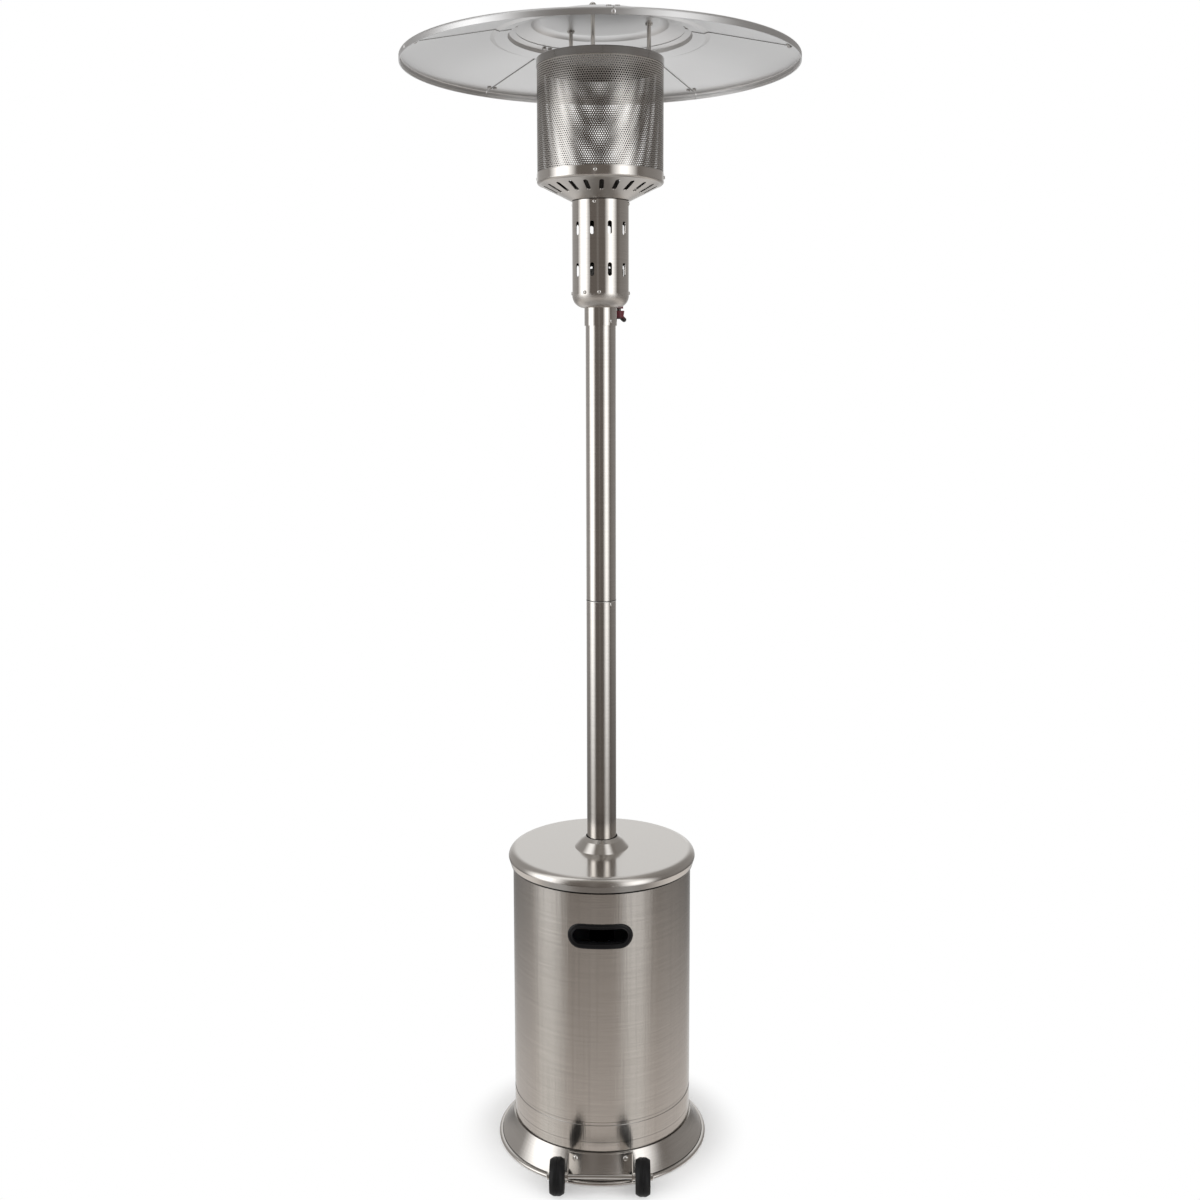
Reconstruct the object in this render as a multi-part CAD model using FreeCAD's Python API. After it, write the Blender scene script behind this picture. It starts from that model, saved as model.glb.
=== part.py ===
import FreeCAD, Part
import math
import os

# Gas patio heater: a gas bottle under a lift-up cover, a pole in two lengths and a burner head under a
# reflector. Millimetres, +Z up, origin on the floor under the pole. The wheels are in front, towards -Y.

V = FreeCAD.Vector
ORIGIN = V(0, 0, 0)
UP = V(0, 0, 1)
ALONG_X = V(1, 0, 0)
ALONG_Y = V(0, 1, 0)
FULL_TURN = 360.0
HALF_TURN = 180.0
QUARTER_TURN = 90.0
QUARTER_BOW = math.tan(math.pi / 8) / 2
HEX_SIDES = 6
TINY = 1e-6
FRONT = -90.0

# Sheet metal, clearances and small hardware
SHEET = 1.0
SEAT = 0.1
CLEAR = 0.3
RUNNING = 0.05
HOLE_GAP = 0.2
SCREW_R = 2.0
SCREW_HEAD_R = 3.6
SCREW_HEAD_H = 2.2
SCREW_EDGE_H = 0.9
SCREW_L = 7.0
BOLT_R = 3.0
BOLT_HEAD_R = 5.5
BOLT_HEAD_H = 3.2

# Gas bottle, its valve and its regulator
BOTTLE_R = 155.0
BOTTLE_T = 2.6
BOTTLE_BODY_L = 210.0
BOTTLE_DOME_H = 70.0
BOTTLE_KNUCKLE = 50.0
BOTTLE_LIFT = 12.0
BOTTLE_RING_R = 103.0
BOTTLE_GUARD_R = 100.0
BOTTLE_GUARD_H = 92.0
BOTTLE_GUARD_OPEN = 100.0
REGULATOR_SIDE = 180.0
BOTTLE_BOSS_R = 20.0
BOTTLE_BOSS_H = 8.0
VALVE_PLUG_R = 11.0
VALVE_STEM_R = 13.0
VALVE_STEM_H = 38.0
VALVE_OUTLET_R = 11.0
VALVE_OUTLET_L = 38.0
VALVE_OUTLET_DROP = 25.0
HANDWHEEL_R = 26.0
HANDWHEEL_H = 14.0
HANDWHEEL_LIFT = 4.0
HANDWHEEL_GRIPS = 8
HANDWHEEL_GRIP_R = 5.0
HANDWHEEL_PIN_R = 5.0
REGULATOR_R = 27.0
REGULATOR_T = 30.0
REGULATOR_REACH = 78.0
REGULATOR_SPIGOT_R = 9.0
REGULATOR_NUT_R = 20.0
REGULATOR_NUT_L = 19.0
REGULATOR_NUT_LIP = 5.0
REGULATOR_BEVEL = 3.0
REGULATOR_TOWER_R = 8.0
REGULATOR_TOWER_H = 6.0
HOSE_R = 6.0
HOSE_BORE_R = 4.0
HOSE_BARB_L = 10.0
HOSE_STRAIGHT = 12.0
GROMMET_LIP = 3.0
GROMMET_LIP_H = 2.5
GROMMET_WALL = 4.0

# Legs that carry the pole over the bottle
BOTTLE_TO_LEG = 8.0
LEG_T = 5.0
LEG_W = 26.0
LEG_FOOT_L = 24.0
LEG_ARM_R = 28.0
LEG_ANGLES = (0.0, 120.0, 240.0)
SOCKET_FLANGE_R = 62.0
SOCKET_FLANGE_T = 5.0
SOCKET_WALL = 3.0
SOCKET_L = 40.0
SOCKET_TO_LID = 8.48

# Cover: housing, lid and hand-holds
LEG_TO_HOUSING = 13.4
HOUSING_R = BOTTLE_R + BOTTLE_TO_LEG + LEG_T + LEG_TO_HOUSING + SHEET
HOUSING_L = 562.5
GROOVE_RISE = 58.0
GROOVE_H = 7.0
GROOVE_DEPTH = 0.8
LID_OVERHANG = 9.3
LID_ROUND = 15.0
LID_SKIRT = 16.0
LID_TURN_IN = 5.0
COLLAR_FOOT_R = 55.5
COLLAR_H = 23.0
COLLAR_GAP = 2.4
COLLAR_LIP = 8.6
COLLAR_LIP_DROP = 6.0
HANDLE_L = 128.0
HANDLE_H = 50.0
HANDLE_RIM = 10.0
HANDLE_PROUD = 3.0
HANDLE_DEPTH = 12.0
HANDLE_WALL = 2.0
HANDLE_BELOW_TOP = 115.9

# Base
SKIRT_FLARE = 33.6
RIM_R = HOUSING_R + SKIRT_FLARE
RIM_H = 7.0
RIM_SHOW = 6.5
FOOT_W = 16.5
PLATE_T = 3.0
SKIRT_H = 41.0
SKIRT_SAG = 2.5
LIP_H = 4.0
LIP_GAP = 2.2
LEDGE_W = 9.0

# Wheels
WHEEL_R = 35.0
WHEEL_W = 29.0
WHEEL_LIFT = 2.0
WHEEL_X = 83.0
HUB_R = 21.0
HUB_RIM = 4.0
HUB_BOSS_R = 10.0
HUB_DISH = 5.0
HUB_INSET = 1.0
TREAD_W = 11.0
TREAD_BEVEL = 4.0
TREAD_LINE = 0.8
AXLE_R = 4.0
AXLE_OUT = 25.0
AXLE_SPACER_R = 7.0
AXLE_NUT_R = 7.0
AXLE_NUT_L = 4.0
AXLE_NUT_CROWN = 2.0
BRACKET_T = 2.0
BRACKET_X = 64.0
BRACKET_LOW = 14.0
BRACKET_TOP_GAP = 2.0
BRACKET_SCREW_X = 50.0
BRACKET_SCREW_DROP = 11.0
BRACKET_SCREW_HEAD_R = 5.2
BRACKET_SCREW_HEAD_H = 3.0
EAR_R = 10.0

# Pole
POLE_R = 30.0
POLE_T = 1.5
LOWER_POLE_L = 563.6
UPPER_POLE_L = 580.0
COUPLER_T = 2.0
COUPLER_L = 100.0
JOINT_SCREW_DROP = 5.2
SOCKET_SCREW_RISE = 20.0
POLE_SCREW_ANGLE = -50.0
POLE_SCREWS = 2

# Burner head below the emitter
NECK_T = 2.2
NECK_L = 35.0
NECK_COVER = 30.0
NECK_SCREW_RISE = 8.5
DOME_H = 25.0
DOME_BOW = 7.0
SLEEVE_R = 56.0
SLEEVE_L = 182.4
SLOT_W = 8.5
SLOT_L = 26.0
SLOT_COUNT = 10
SLOT_ANGLE = -70.0
SLOT_ROW_RISE = 47.2
SLOT_ROW_STEP = 79.8
SLEEVE_LOW_SCREW_RISE = 3.4
SLEEVE_TOP_SCREW_DROP = 6.4
SLEEVE_LOW_SCREW_ANGLES = (-91.6, -1.6, 88.4, 178.4, -122.4)
SLEEVE_TOP_SCREW_ANGLES = (-100.9, -10.9, 79.1, 169.1)
DISH_COLLAR_L = 18.0
DISH_LEDGE = 2.0
DISH_RISE = 30.0
DISH_CORNER = 6.6
DISH_WALL = 14.5
DISH_SLOTS = 22
DISH_SLOT_TURN = 2.4
DISH_SLOT_R = 97.0
DISH_SLOT_L = 30.0
DISH_SLOT_W = 9.0

# Gas train inside the sleeve
BRACKET_FLANGE_H = 11.0
GAS_VALVE_W = 30.0
GAS_VALVE_H = 40.0
GAS_VALVE_BACK = 14.0
GAS_VALVE_FRONT = 46.0
GAS_INLET_R = 7.0
GAS_INLET_L = 12.0
SPINDLE_X = 36.0
SPINDLE_Y = 30.0
SPINDLE_R = 4.0
SPINDLE_GAP = 1.0
SPINDLE_BOSS_R = 6.0
SPINDLE_BOSS_L = 9.0
SPINDLE_DEPTH = 15.0
KNOB_R = 11.0
KNOB_TIP_R = 8.5
KNOB_H = 16.0
KNOB_BORE_L = 13.0
KNOB_TRAVEL = 4.0
KNOB_GRIP_R = 4.8
KNOB_GRIP_REACH = 10.0
KNOB_GRIP_DROP = 17.5
JET_FLANGE_R = 16.0
JET_FLANGE_H = 8.0
JET_R = 5.0
JET_L = 12.0
MIXER_R = 14.0
MIXER_T = 1.2
MIXER_WINDOW_W = 12.0
MIXER_WINDOW_H = 22.0
MIXER_WINDOW_RISE = 14.0
BURNER_R = 36.0
BURNER_H = 52.0
BURNER_NECK_L = 20.0
BURNER_T = 1.5
BURNER_LIP = 2.0
BURNER_PORTS = 24
BURNER_PORT_R = 2.5
BURNER_PORT_DROP = 12.0
PROBE_CIRCLE_R = 46.0
PROBE_NUT_H = 5.0
PROBE_NUT_R = 6.0
PILOT_R = 4.0
PROBE_R = 2.5
PROBE_DOWN = 20.0
PILOT_UP = 36.0
THERMOCOUPLE_UP = 44.0
ELECTRODE_UP = 48.0
ELECTRODE_R = 1.5
PILOT_ANGLE = 200.0
THERMOCOUPLE_ANGLE = 222.0
ELECTRODE_ANGLE = 244.0
PIEZO_R = 9.0
TILT_BOX_L = 20.0
TILT_BOX_W = 16.0
TILT_BOX_H = 30.0

# Emitter
EMITTER_R = 123.4
EMITTER_L = 231.0
EMITTER_FOOT = 0.5
CAP_T = 1.5
CAP_SKIRT = 15.0
EMITTER_SCREW_ANGLE = -93.3
EMITTER_SCREWS = 4

# Reflector
STUD_R = 4.0
STUD_CIRCLE_R = 97.0
STUD_ANGLES = (-97.0, 12.0, 128.0)
NUT_R = 7.0
NUT_H = 3.0
WASHER_R = 7.6
WASHER_T = 1.0
CAP_NUT_H = 9.0
REFLECTOR_LIFT = 72.5
DISC_R = 180.0
DISC_FLAT_R = 116.0
DISC_STEP_R = 134.0
DISC_STEP_H = 8.2
DISC_SLOPE = 0.339
DISC_STEP_BOW = 1.5
PETALS = 5
PETAL_LAP = 12.0
PETAL_WALL_INSET = 4.0
PETAL_WALL_RUN = 3.0
PETAL_WALL_H = 7.0
PETAL_JOGGLE_RUN = 9.0
PETAL_JOGGLE_H = 2.35
PETAL_BEND_R = 213.0
PETAL_SLOPE = 0.222
PETAL_SEAM_ANGLE = 58.5
REFLECTOR_R = 388.0
RIM_CORNER = 5.0
RIM_ROUND_H = 4.2
RIM_LIP = 9.0
RIM_BOW = 1.2
HEM_H = 5.0
HEM_T = 1.2
SEAM_GAP = 1.2
PETAL_BOLT_SIDE = 7.2
RIM_BOLT_INSET = 22.0
PETAL_BOLT_R = 2.0
PETAL_BOLT_HEAD_R = 4.2
PETAL_BOLT_HEAD_H = 3.4
SEAM_PLATE_L = 24.0
SEAM_PLATE_W = 13.0
SEAM_PLATE_T = 1.2

# Heights and radii that follow from the sizes above
DECK_Z = RIM_H
LEDGE_Z = DECK_Z + SKIRT_H
LIP_R = HOUSING_R + LIP_GAP + SHEET
SKIRT_FOOT_R = RIM_R - RIM_SHOW
HOUSING_Z = LEDGE_Z + CLEAR
HOUSING_TOP_Z = HOUSING_Z + HOUSING_L
LID_INSET = max(0.0, LID_ROUND + SHEET - LID_OVERHANG)
LID_UNDER_Z = HOUSING_TOP_Z + LID_ROUND - math.sqrt(LID_ROUND ** 2 - LID_INSET ** 2) + SEAT
LID_Z = LID_UNDER_Z + SHEET
LID_R = HOUSING_R + LID_OVERHANG
COLLAR_R = POLE_R + COLLAR_GAP
HANDLE_Z = HOUSING_TOP_Z - HANDLE_BELOW_TOP
LEG_R = BOTTLE_R + BOTTLE_TO_LEG
POLE_Z = LID_UNDER_Z - SOCKET_TO_LID - SOCKET_L
LEG_TOP_Z = POLE_Z - SOCKET_FLANGE_T
SOCKET_R = POLE_R + SEAT
JOINT_Z = POLE_Z + LOWER_POLE_L
POLE_TOP_Z = JOINT_Z + UPPER_POLE_L
COUPLER_R = POLE_R - POLE_T - SEAT
NECK_Z = POLE_TOP_Z - NECK_COVER
NECK_R = POLE_R + SEAT + NECK_T
DOME_Z = NECK_Z + NECK_L
SLEEVE_Z = DOME_Z + DOME_H
SLEEVE_TOP_Z = SLEEVE_Z + SLEEVE_L
SLEEVE_BORE_R = SLEEVE_R - SHEET
DISH_Z = SLEEVE_TOP_Z + SEAT
DISH_COLLAR_R = SLEEVE_BORE_R - SEAT
DISH_R = EMITTER_R + SEAT + SHEET
DISH_CORNER_Z = DISH_Z + DISH_RISE
DISH_WALL_Z = DISH_CORNER_Z + DISH_CORNER
BRACKET_Z = SLEEVE_Z + BRACKET_FLANGE_H
GAS_VALVE_Z = BRACKET_Z + SHEET
GAS_VALVE_TOP_Z = GAS_VALVE_Z + GAS_VALVE_H
HOSE_TOP_Z = GAS_VALVE_Z - GAS_INLET_L
SPINDLE_ANGLE = math.degrees(math.atan2(SPINDLE_Y, SPINDLE_X))
KNOB_TOP_Z = DOME_Z - KNOB_TRAVEL - CLEAR
MIXER_Z = GAS_VALVE_TOP_Z + JET_FLANGE_H
BURNER_Z = DISH_Z + SHEET + SEAT
EMITTER_Z = DISH_WALL_Z + EMITTER_FOOT
EMITTER_TOP_Z = EMITTER_Z + EMITTER_L
CAP_Z = EMITTER_TOP_Z + SEAT
CAP_TOP_Z = CAP_Z + CAP_T
DISC_Z = CAP_TOP_Z + REFLECTOR_LIFT
DISC_TOP_Z = DISC_Z + SHEET
AXLE_Y = -(RIM_R + AXLE_OUT)
AXLE_Z = WHEEL_R + WHEEL_LIFT
BOTTLE_CROWN_R = (
    (BOTTLE_DOME_H ** 2 + (BOTTLE_R - BOTTLE_KNUCKLE) ** 2 - BOTTLE_KNUCKLE ** 2)
    / (2 * (BOTTLE_DOME_H - BOTTLE_KNUCKLE))
)
BOTTLE_LOW_Z = DECK_Z + BOTTLE_LIFT
BOTTLE_BODY_Z = BOTTLE_LOW_Z + BOTTLE_DOME_H
BOTTLE_SHOULDER_Z = BOTTLE_BODY_Z + BOTTLE_BODY_L
BOTTLE_TOP_Z = BOTTLE_SHOULDER_Z + BOTTLE_DOME_H
VALVE_Z = BOTTLE_TOP_Z + BOTTLE_BOSS_H
VALVE_TOP_Z = VALVE_Z + VALVE_STEM_H
OUTLET_Z = VALVE_TOP_Z - VALVE_OUTLET_DROP
HANDWHEEL_Z = VALVE_TOP_Z + HANDWHEEL_LIFT
HOSE_Z = OUTLET_Z + REGULATOR_R + REGULATOR_TOWER_H


def point(r, z):
    """Point of a turned outline, at radius r and height z."""
    return V(r, 0, z)


def outline_face(points):
    """Closed face at y = 0. A pair is a corner; four numbers are an arc's middle and its end."""
    edges = []
    here = point(*points[0])
    for item in points[1:] + points[:1]:
        there = point(*item[-2:])
        if len(item) == 4:
            edges.append(Part.Arc(here, point(*item[:2]), there).toShape())
        elif here.distanceToPoint(there) > TINY:
            edges.append(Part.LineSegment(here, there).toShape())
        here = there
    return Part.Face(Part.Wire(edges))


def bowed(start, end, bow):
    """Arc for outline_face from start to end, whose middle stands bow to the right of the straight line."""
    run_r = end[0] - start[0]
    run_z = end[1] - start[1]
    length = math.hypot(run_r, run_z)
    middle_r = (start[0] + end[0]) / 2 + bow * run_z / length
    middle_z = (start[1] + end[1]) / 2 - bow * run_r / length
    return (middle_r, middle_z, end[0], end[1])


def raised(points, height):
    """Corners of a line that runs outwards, moved up square to the line, with mitred corners."""
    normals = []
    for start, end in zip(points, points[1:]):
        length = math.dist(start, end)
        normals.append(((start[1] - end[1]) / length, (end[0] - start[0]) / length))
    moved_up = []
    for corner, before, after in zip(points, normals[:1] + normals, normals + normals[-1:]):
        share = height / (1 + before[0] * after[0] + before[1] * after[1])
        moved_up.append(tuple(c + share * (b + a) for c, b, a in zip(corner, before, after)))
    return moved_up


def rounded(start, end, side=1):
    """Quarter round for outline_face from start to end, bulging to the right, or left with side -1."""
    return bowed(start, end, side * QUARTER_BOW * math.dist(start, end))


def crowned(start, end):
    """Arc for outline_face between an edge and a point on the axis, part of a ball centred on the axis."""
    edge, top = (start, end) if end[0] == 0 else (end, start)
    height = top[1] - edge[1]
    ball_r = (edge[0] ** 2 + height ** 2) / (2 * height)
    half = math.asin(edge[0] / abs(ball_r)) / 2
    return (abs(ball_r) * math.sin(half), top[1] - ball_r * (1 - math.cos(half)), end[0], end[1])


def revolved(face, sweep):
    """Solid made by turning a face about the Z axis."""
    solid = face.revolve(ORIGIN, UP, sweep)
    if solid.Volume < 0:
        solid.reverse()
    return solid


def turned(points, start=0.0, sweep=FULL_TURN):
    """Solid turned about the Z axis from start, through sweep degrees."""
    return spun(revolved(outline_face(points), sweep), start)


def spun(shape, angle):
    """Copy of a shape turned about the Z axis."""
    copy = shape.copy()
    copy.rotate(ORIGIN, UP, angle)
    return copy


def moved(shape, x, y, z):
    """Copy of a shape moved by x, y and z."""
    copy = shape.copy()
    copy.translate(V(x, y, z))
    return copy


def aimed(shape, place, direction):
    """Copy of a shape made along +Z at the origin, set at place and pointing along direction."""
    copy = shape.copy()
    copy.Placement = FreeCAD.Placement(place, FreeCAD.Rotation(UP, direction)).multiply(shape.Placement)
    return copy


def polar(radius, angle, z):
    """Point at a radius, an angle from +X and a height."""
    turn = math.radians(angle)
    return V(radius * math.cos(turn), radius * math.sin(turn), z)


def rod(radius, low, high):
    """Upright cylinder on the axis between two heights."""
    return Part.makeCylinder(radius, high - low, V(0, 0, low))


def tube(outer, inner, low, high):
    """Upright tube on the axis between two heights."""
    return turned([(inner, low), (outer, low), (outer, high), (inner, high)])


def hexagon(corner_r, low, high):
    """Upright hexagonal prism on the axis between two heights."""
    corners = [polar(corner_r, angle, low) for angle in even_angles(HEX_SIDES, 0.0)]
    return Part.Face(Part.makePolygon(corners + corners[:1])).extrude(V(0, 0, high - low))


def obround(length, width, depth):
    """Upright prism on z = 0 with a round-ended outline, its length along X."""
    half = (length - width) / 2
    r = width / 2
    sides = [
        Part.LineSegment(V(-half, -r, 0), V(half, -r, 0)),
        Part.Arc(V(half, -r, 0), V(half + r, 0, 0), V(half, r, 0)),
        Part.LineSegment(V(half, r, 0), V(-half, r, 0)),
        Part.Arc(V(-half, r, 0), V(-half - r, 0, 0), V(-half, -r, 0)),
    ]
    return Part.Face(Part.Wire([side.toShape() for side in sides])).extrude(V(0, 0, depth))


def upright_slot(length, width, depth, z):
    """Slot cutter along +X from the axis, taller than wide, at height z."""
    slot = obround(length, width, depth)
    slot.rotate(ORIGIN, ALONG_Y, QUARTER_TURN)
    return moved(slot, 0, 0, z)


def level_slot(length, width, depth, z):
    """Slot cutter along -Y from the axis, wider than tall, at height z."""
    slot = obround(length, width, depth)
    slot.rotate(ORIGIN, ALONG_X, QUARTER_TURN)
    return moved(slot, 0, 0, z)


def even_angles(count, start):
    """Equal angles round the axis."""
    return [start + FULL_TURN * i / count for i in range(count)]


def pan_screw(head_r=SCREW_HEAD_R, head_h=SCREW_HEAD_H):
    """Pan-head screw along +Z: its head stands on z = 0 and its shank runs down."""
    edge = (head_r, SCREW_EDGE_H)
    crown = (0, head_h)
    stem = [(0, -SCREW_L), (SCREW_R, -SCREW_L), (SCREW_R, 0), (head_r, 0), edge]
    return turned(stem + [crowned(edge, crown)])


def screw_hole():
    """Clearance for a pan-head screw's shank."""
    return rod(SCREW_R + HOLE_GAP, -SCREW_L, SCREW_HEAD_H)


def through_bolt(stack, radius, head_r, head_h):
    """Bolt and nut along +Z: a domed nut under z = 0, the stack of sheets, then a flat head."""
    base = (0, -head_h)
    edge = (head_r, -head_h / 2)
    nut = [base, crowned(base, edge), (head_r, 0), (radius, 0), (radius, stack)]
    return turned(nut + [(head_r, stack), (head_r, stack + head_h / 2), (0, stack + head_h / 2)])


def bolt_hole(stack, radius, head_h):
    """Clearance for a through bolt's shank."""
    return rod(radius + HOLE_GAP, -head_h, stack + head_h)


def on_drum(radius, angles, z):
    """(place, outward direction) of screws on a drum."""
    return [(polar(radius, angle, z), polar(1, angle, 0)) for angle in angles]


def set_out(shape, places):
    """Copies of a shape made along +Z, one at each place."""
    return [aimed(shape, place, direction) for place, direction in places]


# Places that more than one piece shares


def neck_screw_places():
    return on_drum(NECK_R, even_angles(POLE_SCREWS, POLE_SCREW_ANGLE), NECK_Z + NECK_SCREW_RISE)


def joint_screw_places():
    return on_drum(POLE_R, even_angles(POLE_SCREWS, POLE_SCREW_ANGLE), JOINT_Z - JOINT_SCREW_DROP)


def socket_screw_places():
    angles = even_angles(POLE_SCREWS, POLE_SCREW_ANGLE)
    return on_drum(SOCKET_R + SOCKET_WALL, angles, POLE_Z + SOCKET_SCREW_RISE)


def sleeve_low_screw_places():
    return on_drum(SLEEVE_R, SLEEVE_LOW_SCREW_ANGLES, SLEEVE_Z + SLEEVE_LOW_SCREW_RISE)


def sleeve_top_screw_places():
    return on_drum(SLEEVE_R, SLEEVE_TOP_SCREW_ANGLES, SLEEVE_TOP_Z - SLEEVE_TOP_SCREW_DROP)


def dish_screw_places():
    return on_drum(DISH_R, even_angles(EMITTER_SCREWS, EMITTER_SCREW_ANGLE), DISH_WALL_Z + DISH_WALL / 2)


def leg_foot_places():
    r = LEG_R - LEG_FOOT_L / 2
    return [(polar(r, angle, RIM_H - PLATE_T), UP) for angle in LEG_ANGLES]


def leg_arm_places():
    r = (LEG_ARM_R + SOCKET_FLANGE_R) / 2
    return [(polar(r, angle, LEG_TOP_Z - LEG_T), UP) for angle in LEG_ANGLES]


def stud_places(z):
    return [(polar(STUD_CIRCLE_R, angle, z), UP) for angle in STUD_ANGLES]


def probe_places():
    return [polar(PROBE_CIRCLE_R, angle, 0) for angle in (PILOT_ANGLE, THERMOCOUPLE_ANGLE, ELECTRODE_ANGLE)]


def skirt_curve(offset):
    """The flare's foot and lip, moved outwards by offset."""
    return (SKIRT_FOOT_R + offset, DECK_Z), (LIP_R + offset, LEDGE_Z + LIP_H)


def bracket_screw_places():
    """Two screws near the top of the wheel bracket, square to the flare."""
    foot, lip = skirt_curve(2 * SEAT + BRACKET_T)
    arc = Part.Arc(point(*foot), point(*bowed(foot, lip, -SKIRT_SAG)[:2]), point(*lip)).toShape()
    screw_z = lip[1] - BRACKET_SCREW_DROP
    level = Part.makeLine(point(0, screw_z), point(RIM_R + LIP_R, screw_z))
    at = arc.distToShape(level)[1][0][0]
    along = arc.tangentAt(arc.Curve.parameter(at))
    swing = math.degrees(math.asin(BRACKET_SCREW_X / at.x))
    angles = (FRONT - swing, FRONT + swing)
    return [(polar(at.x, angle, at.z), polar(abs(along.z), angle, abs(along.x))) for angle in angles]


def disc_under(r):
    """Height of the reflector disc's sloping edge, from below, at radius r."""
    return DISC_Z - DISC_STEP_H - DISC_SLOPE * (r - DISC_STEP_R)


def lap_under(r):
    """Height of the petals' laps under the disc, from below, at radius r."""
    return disc_under(r) - SHEET * math.hypot(1, DISC_SLOPE) - SEAT


def petal_line():
    """A petal's underside from its lap out to the main slope: lap, step down, shelf and joggle up."""
    wall_r = DISC_R - PETAL_WALL_INSET
    foot_r = wall_r + PETAL_WALL_RUN
    shelf_r = PETAL_BEND_R - PETAL_JOGGLE_RUN
    foot_z = lap_under(wall_r) - PETAL_WALL_H
    shelf_z = foot_z - PETAL_SLOPE * (shelf_r - foot_r)
    lap_r = wall_r - PETAL_LAP
    return [(lap_r, lap_under(lap_r)), (wall_r, lap_under(wall_r)), (foot_r, foot_z), (shelf_r, shelf_z),
            (PETAL_BEND_R, shelf_z + PETAL_JOGGLE_H)]


def petal_under(r):
    """Height of a petal's main slope, from below, at radius r."""
    bend_r, bend_z = petal_line()[-1]
    return bend_z - PETAL_SLOPE * (r - bend_r)


def seam_bolts(shape, r, z, slope):
    """A bolt or its hole, set square to a slope on each side of a seam at angle 0."""
    swing = math.degrees(PETAL_BOLT_SIDE / r)
    upright = aimed(shape, V(r, 0, z), V(slope, 0, 1))
    return [spun(upright, -swing), spun(upright, swing)]


def inner_seam_bolts(shape):
    r = DISC_R - PETAL_WALL_INSET - PETAL_LAP / 2
    return seam_bolts(shape, r, lap_under(r), DISC_SLOPE)


def rim_seam_bolts(shape):
    r = REFLECTOR_R - RIM_BOLT_INSET
    return seam_bolts(shape, r, petal_under(r), PETAL_SLOPE)


# Base and wheels


def base_plate():
    half = RIM_H / 2
    foot_r = RIM_R - half - FOOT_W
    under_z = RIM_H - PLATE_T
    plate = turned([
        (0, under_z), (foot_r, under_z), (foot_r, 0), (RIM_R - half, 0),
        (RIM_R, half, RIM_R - half, RIM_H), (0, RIM_H),
    ])
    return plate.cut(set_out(bolt_hole(PLATE_T + LEG_T, BOLT_R, BOLT_HEAD_H), leg_foot_places()))


def base_skirt():
    foot, lip = skirt_curve(0.0)
    inner_foot, inner_lip = skirt_curve(-SHEET)
    ledge_r = HOUSING_R - LEDGE_W
    under = (inner_lip[0] + SHEET, LEDGE_Z - SHEET)
    skirt = turned([
        foot, bowed(foot, lip, -SKIRT_SAG), inner_lip, (inner_lip[0], LEDGE_Z),
        (ledge_r, LEDGE_Z), (ledge_r, LEDGE_Z - SHEET), under, bowed(under, inner_foot, SKIRT_SAG),
    ])
    return skirt.cut(set_out(screw_hole(), bracket_screw_places()))


def bracket_ear(x):
    """Plate across X from x that carries one end of the axle; its back runs into the skirt."""
    top_z = LEDGE_Z + LIP_H - BRACKET_TOP_GAP
    back_y = -LIP_R / 2
    corners = [V(x, back_y, BRACKET_LOW), V(x, back_y, top_z), V(x, AXLE_Y, AXLE_Z + EAR_R)]
    nose = Part.Arc(corners[2], V(x, AXLE_Y - EAR_R, AXLE_Z), V(x, AXLE_Y, AXLE_Z - EAR_R))
    last = Part.LineSegment(V(x, AXLE_Y, AXLE_Z - EAR_R), corners[0])
    first = Part.makePolygon(corners).Edges
    return Part.Face(Part.Wire(first + [nose.toShape(), last.toShape()])).extrude(V(BRACKET_T, 0, 0))


def wheel_bracket():
    inner_foot, inner_lip = skirt_curve(SEAT)
    outer_foot, outer_lip = skirt_curve(SEAT + BRACKET_T)
    core_foot, core_lip = skirt_curve(SEAT + BRACKET_T / 2)
    swing = math.degrees(math.asin(BRACKET_X / LIP_R)) + BRACKET_T
    top_z = LEDGE_Z + LIP_H - BRACKET_TOP_GAP
    web = turned(
        [inner_foot, outer_foot, bowed(outer_foot, outer_lip, -SKIRT_SAG), inner_lip,
         bowed(inner_lip, inner_foot, SKIRT_SAG)],
        FRONT - swing, 2 * swing,
    )
    corner = V(-BRACKET_X, -2 * RIM_R, BRACKET_LOW)
    web = web.common(Part.makeBox(2 * BRACKET_X, 2 * RIM_R, top_z - BRACKET_LOW, corner))
    core = turned([(0, DECK_Z), core_foot, bowed(core_foot, core_lip, -SKIRT_SAG), (0, core_lip[1])])
    ears = [bracket_ear(x).cut(core) for x in (-BRACKET_X, BRACKET_X - BRACKET_T)]
    bracket = web.fuse(ears).removeSplitter()
    axle_hole = Part.makeCylinder(AXLE_R + SEAT, 4 * BRACKET_X, V(-2 * BRACKET_X, AXLE_Y, AXLE_Z), ALONG_X)
    return bracket.cut([axle_hole] + set_out(screw_hole(), bracket_screw_places()))


def bracket_screws():
    screw = pan_screw(BRACKET_SCREW_HEAD_R, BRACKET_SCREW_HEAD_H)
    return Part.makeCompound(set_out(screw, bracket_screw_places()))


def axle_ends(shape):
    """A piece made along +Z, outwards from z = 0, set outside each wheel."""
    x = WHEEL_X + WHEEL_W / 2 + CLEAR
    return [
        aimed(shape, V(side * x, AXLE_Y, AXLE_Z), V(side, 0, 0))
        for side in (-1, 1)
    ]


def wheel_axle():
    half = WHEEL_X + WHEEL_W / 2 + CLEAR + AXLE_NUT_L
    return Part.makeCylinder(AXLE_R, 2 * half, V(-half, AXLE_Y, AXLE_Z), ALONG_X)


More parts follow.
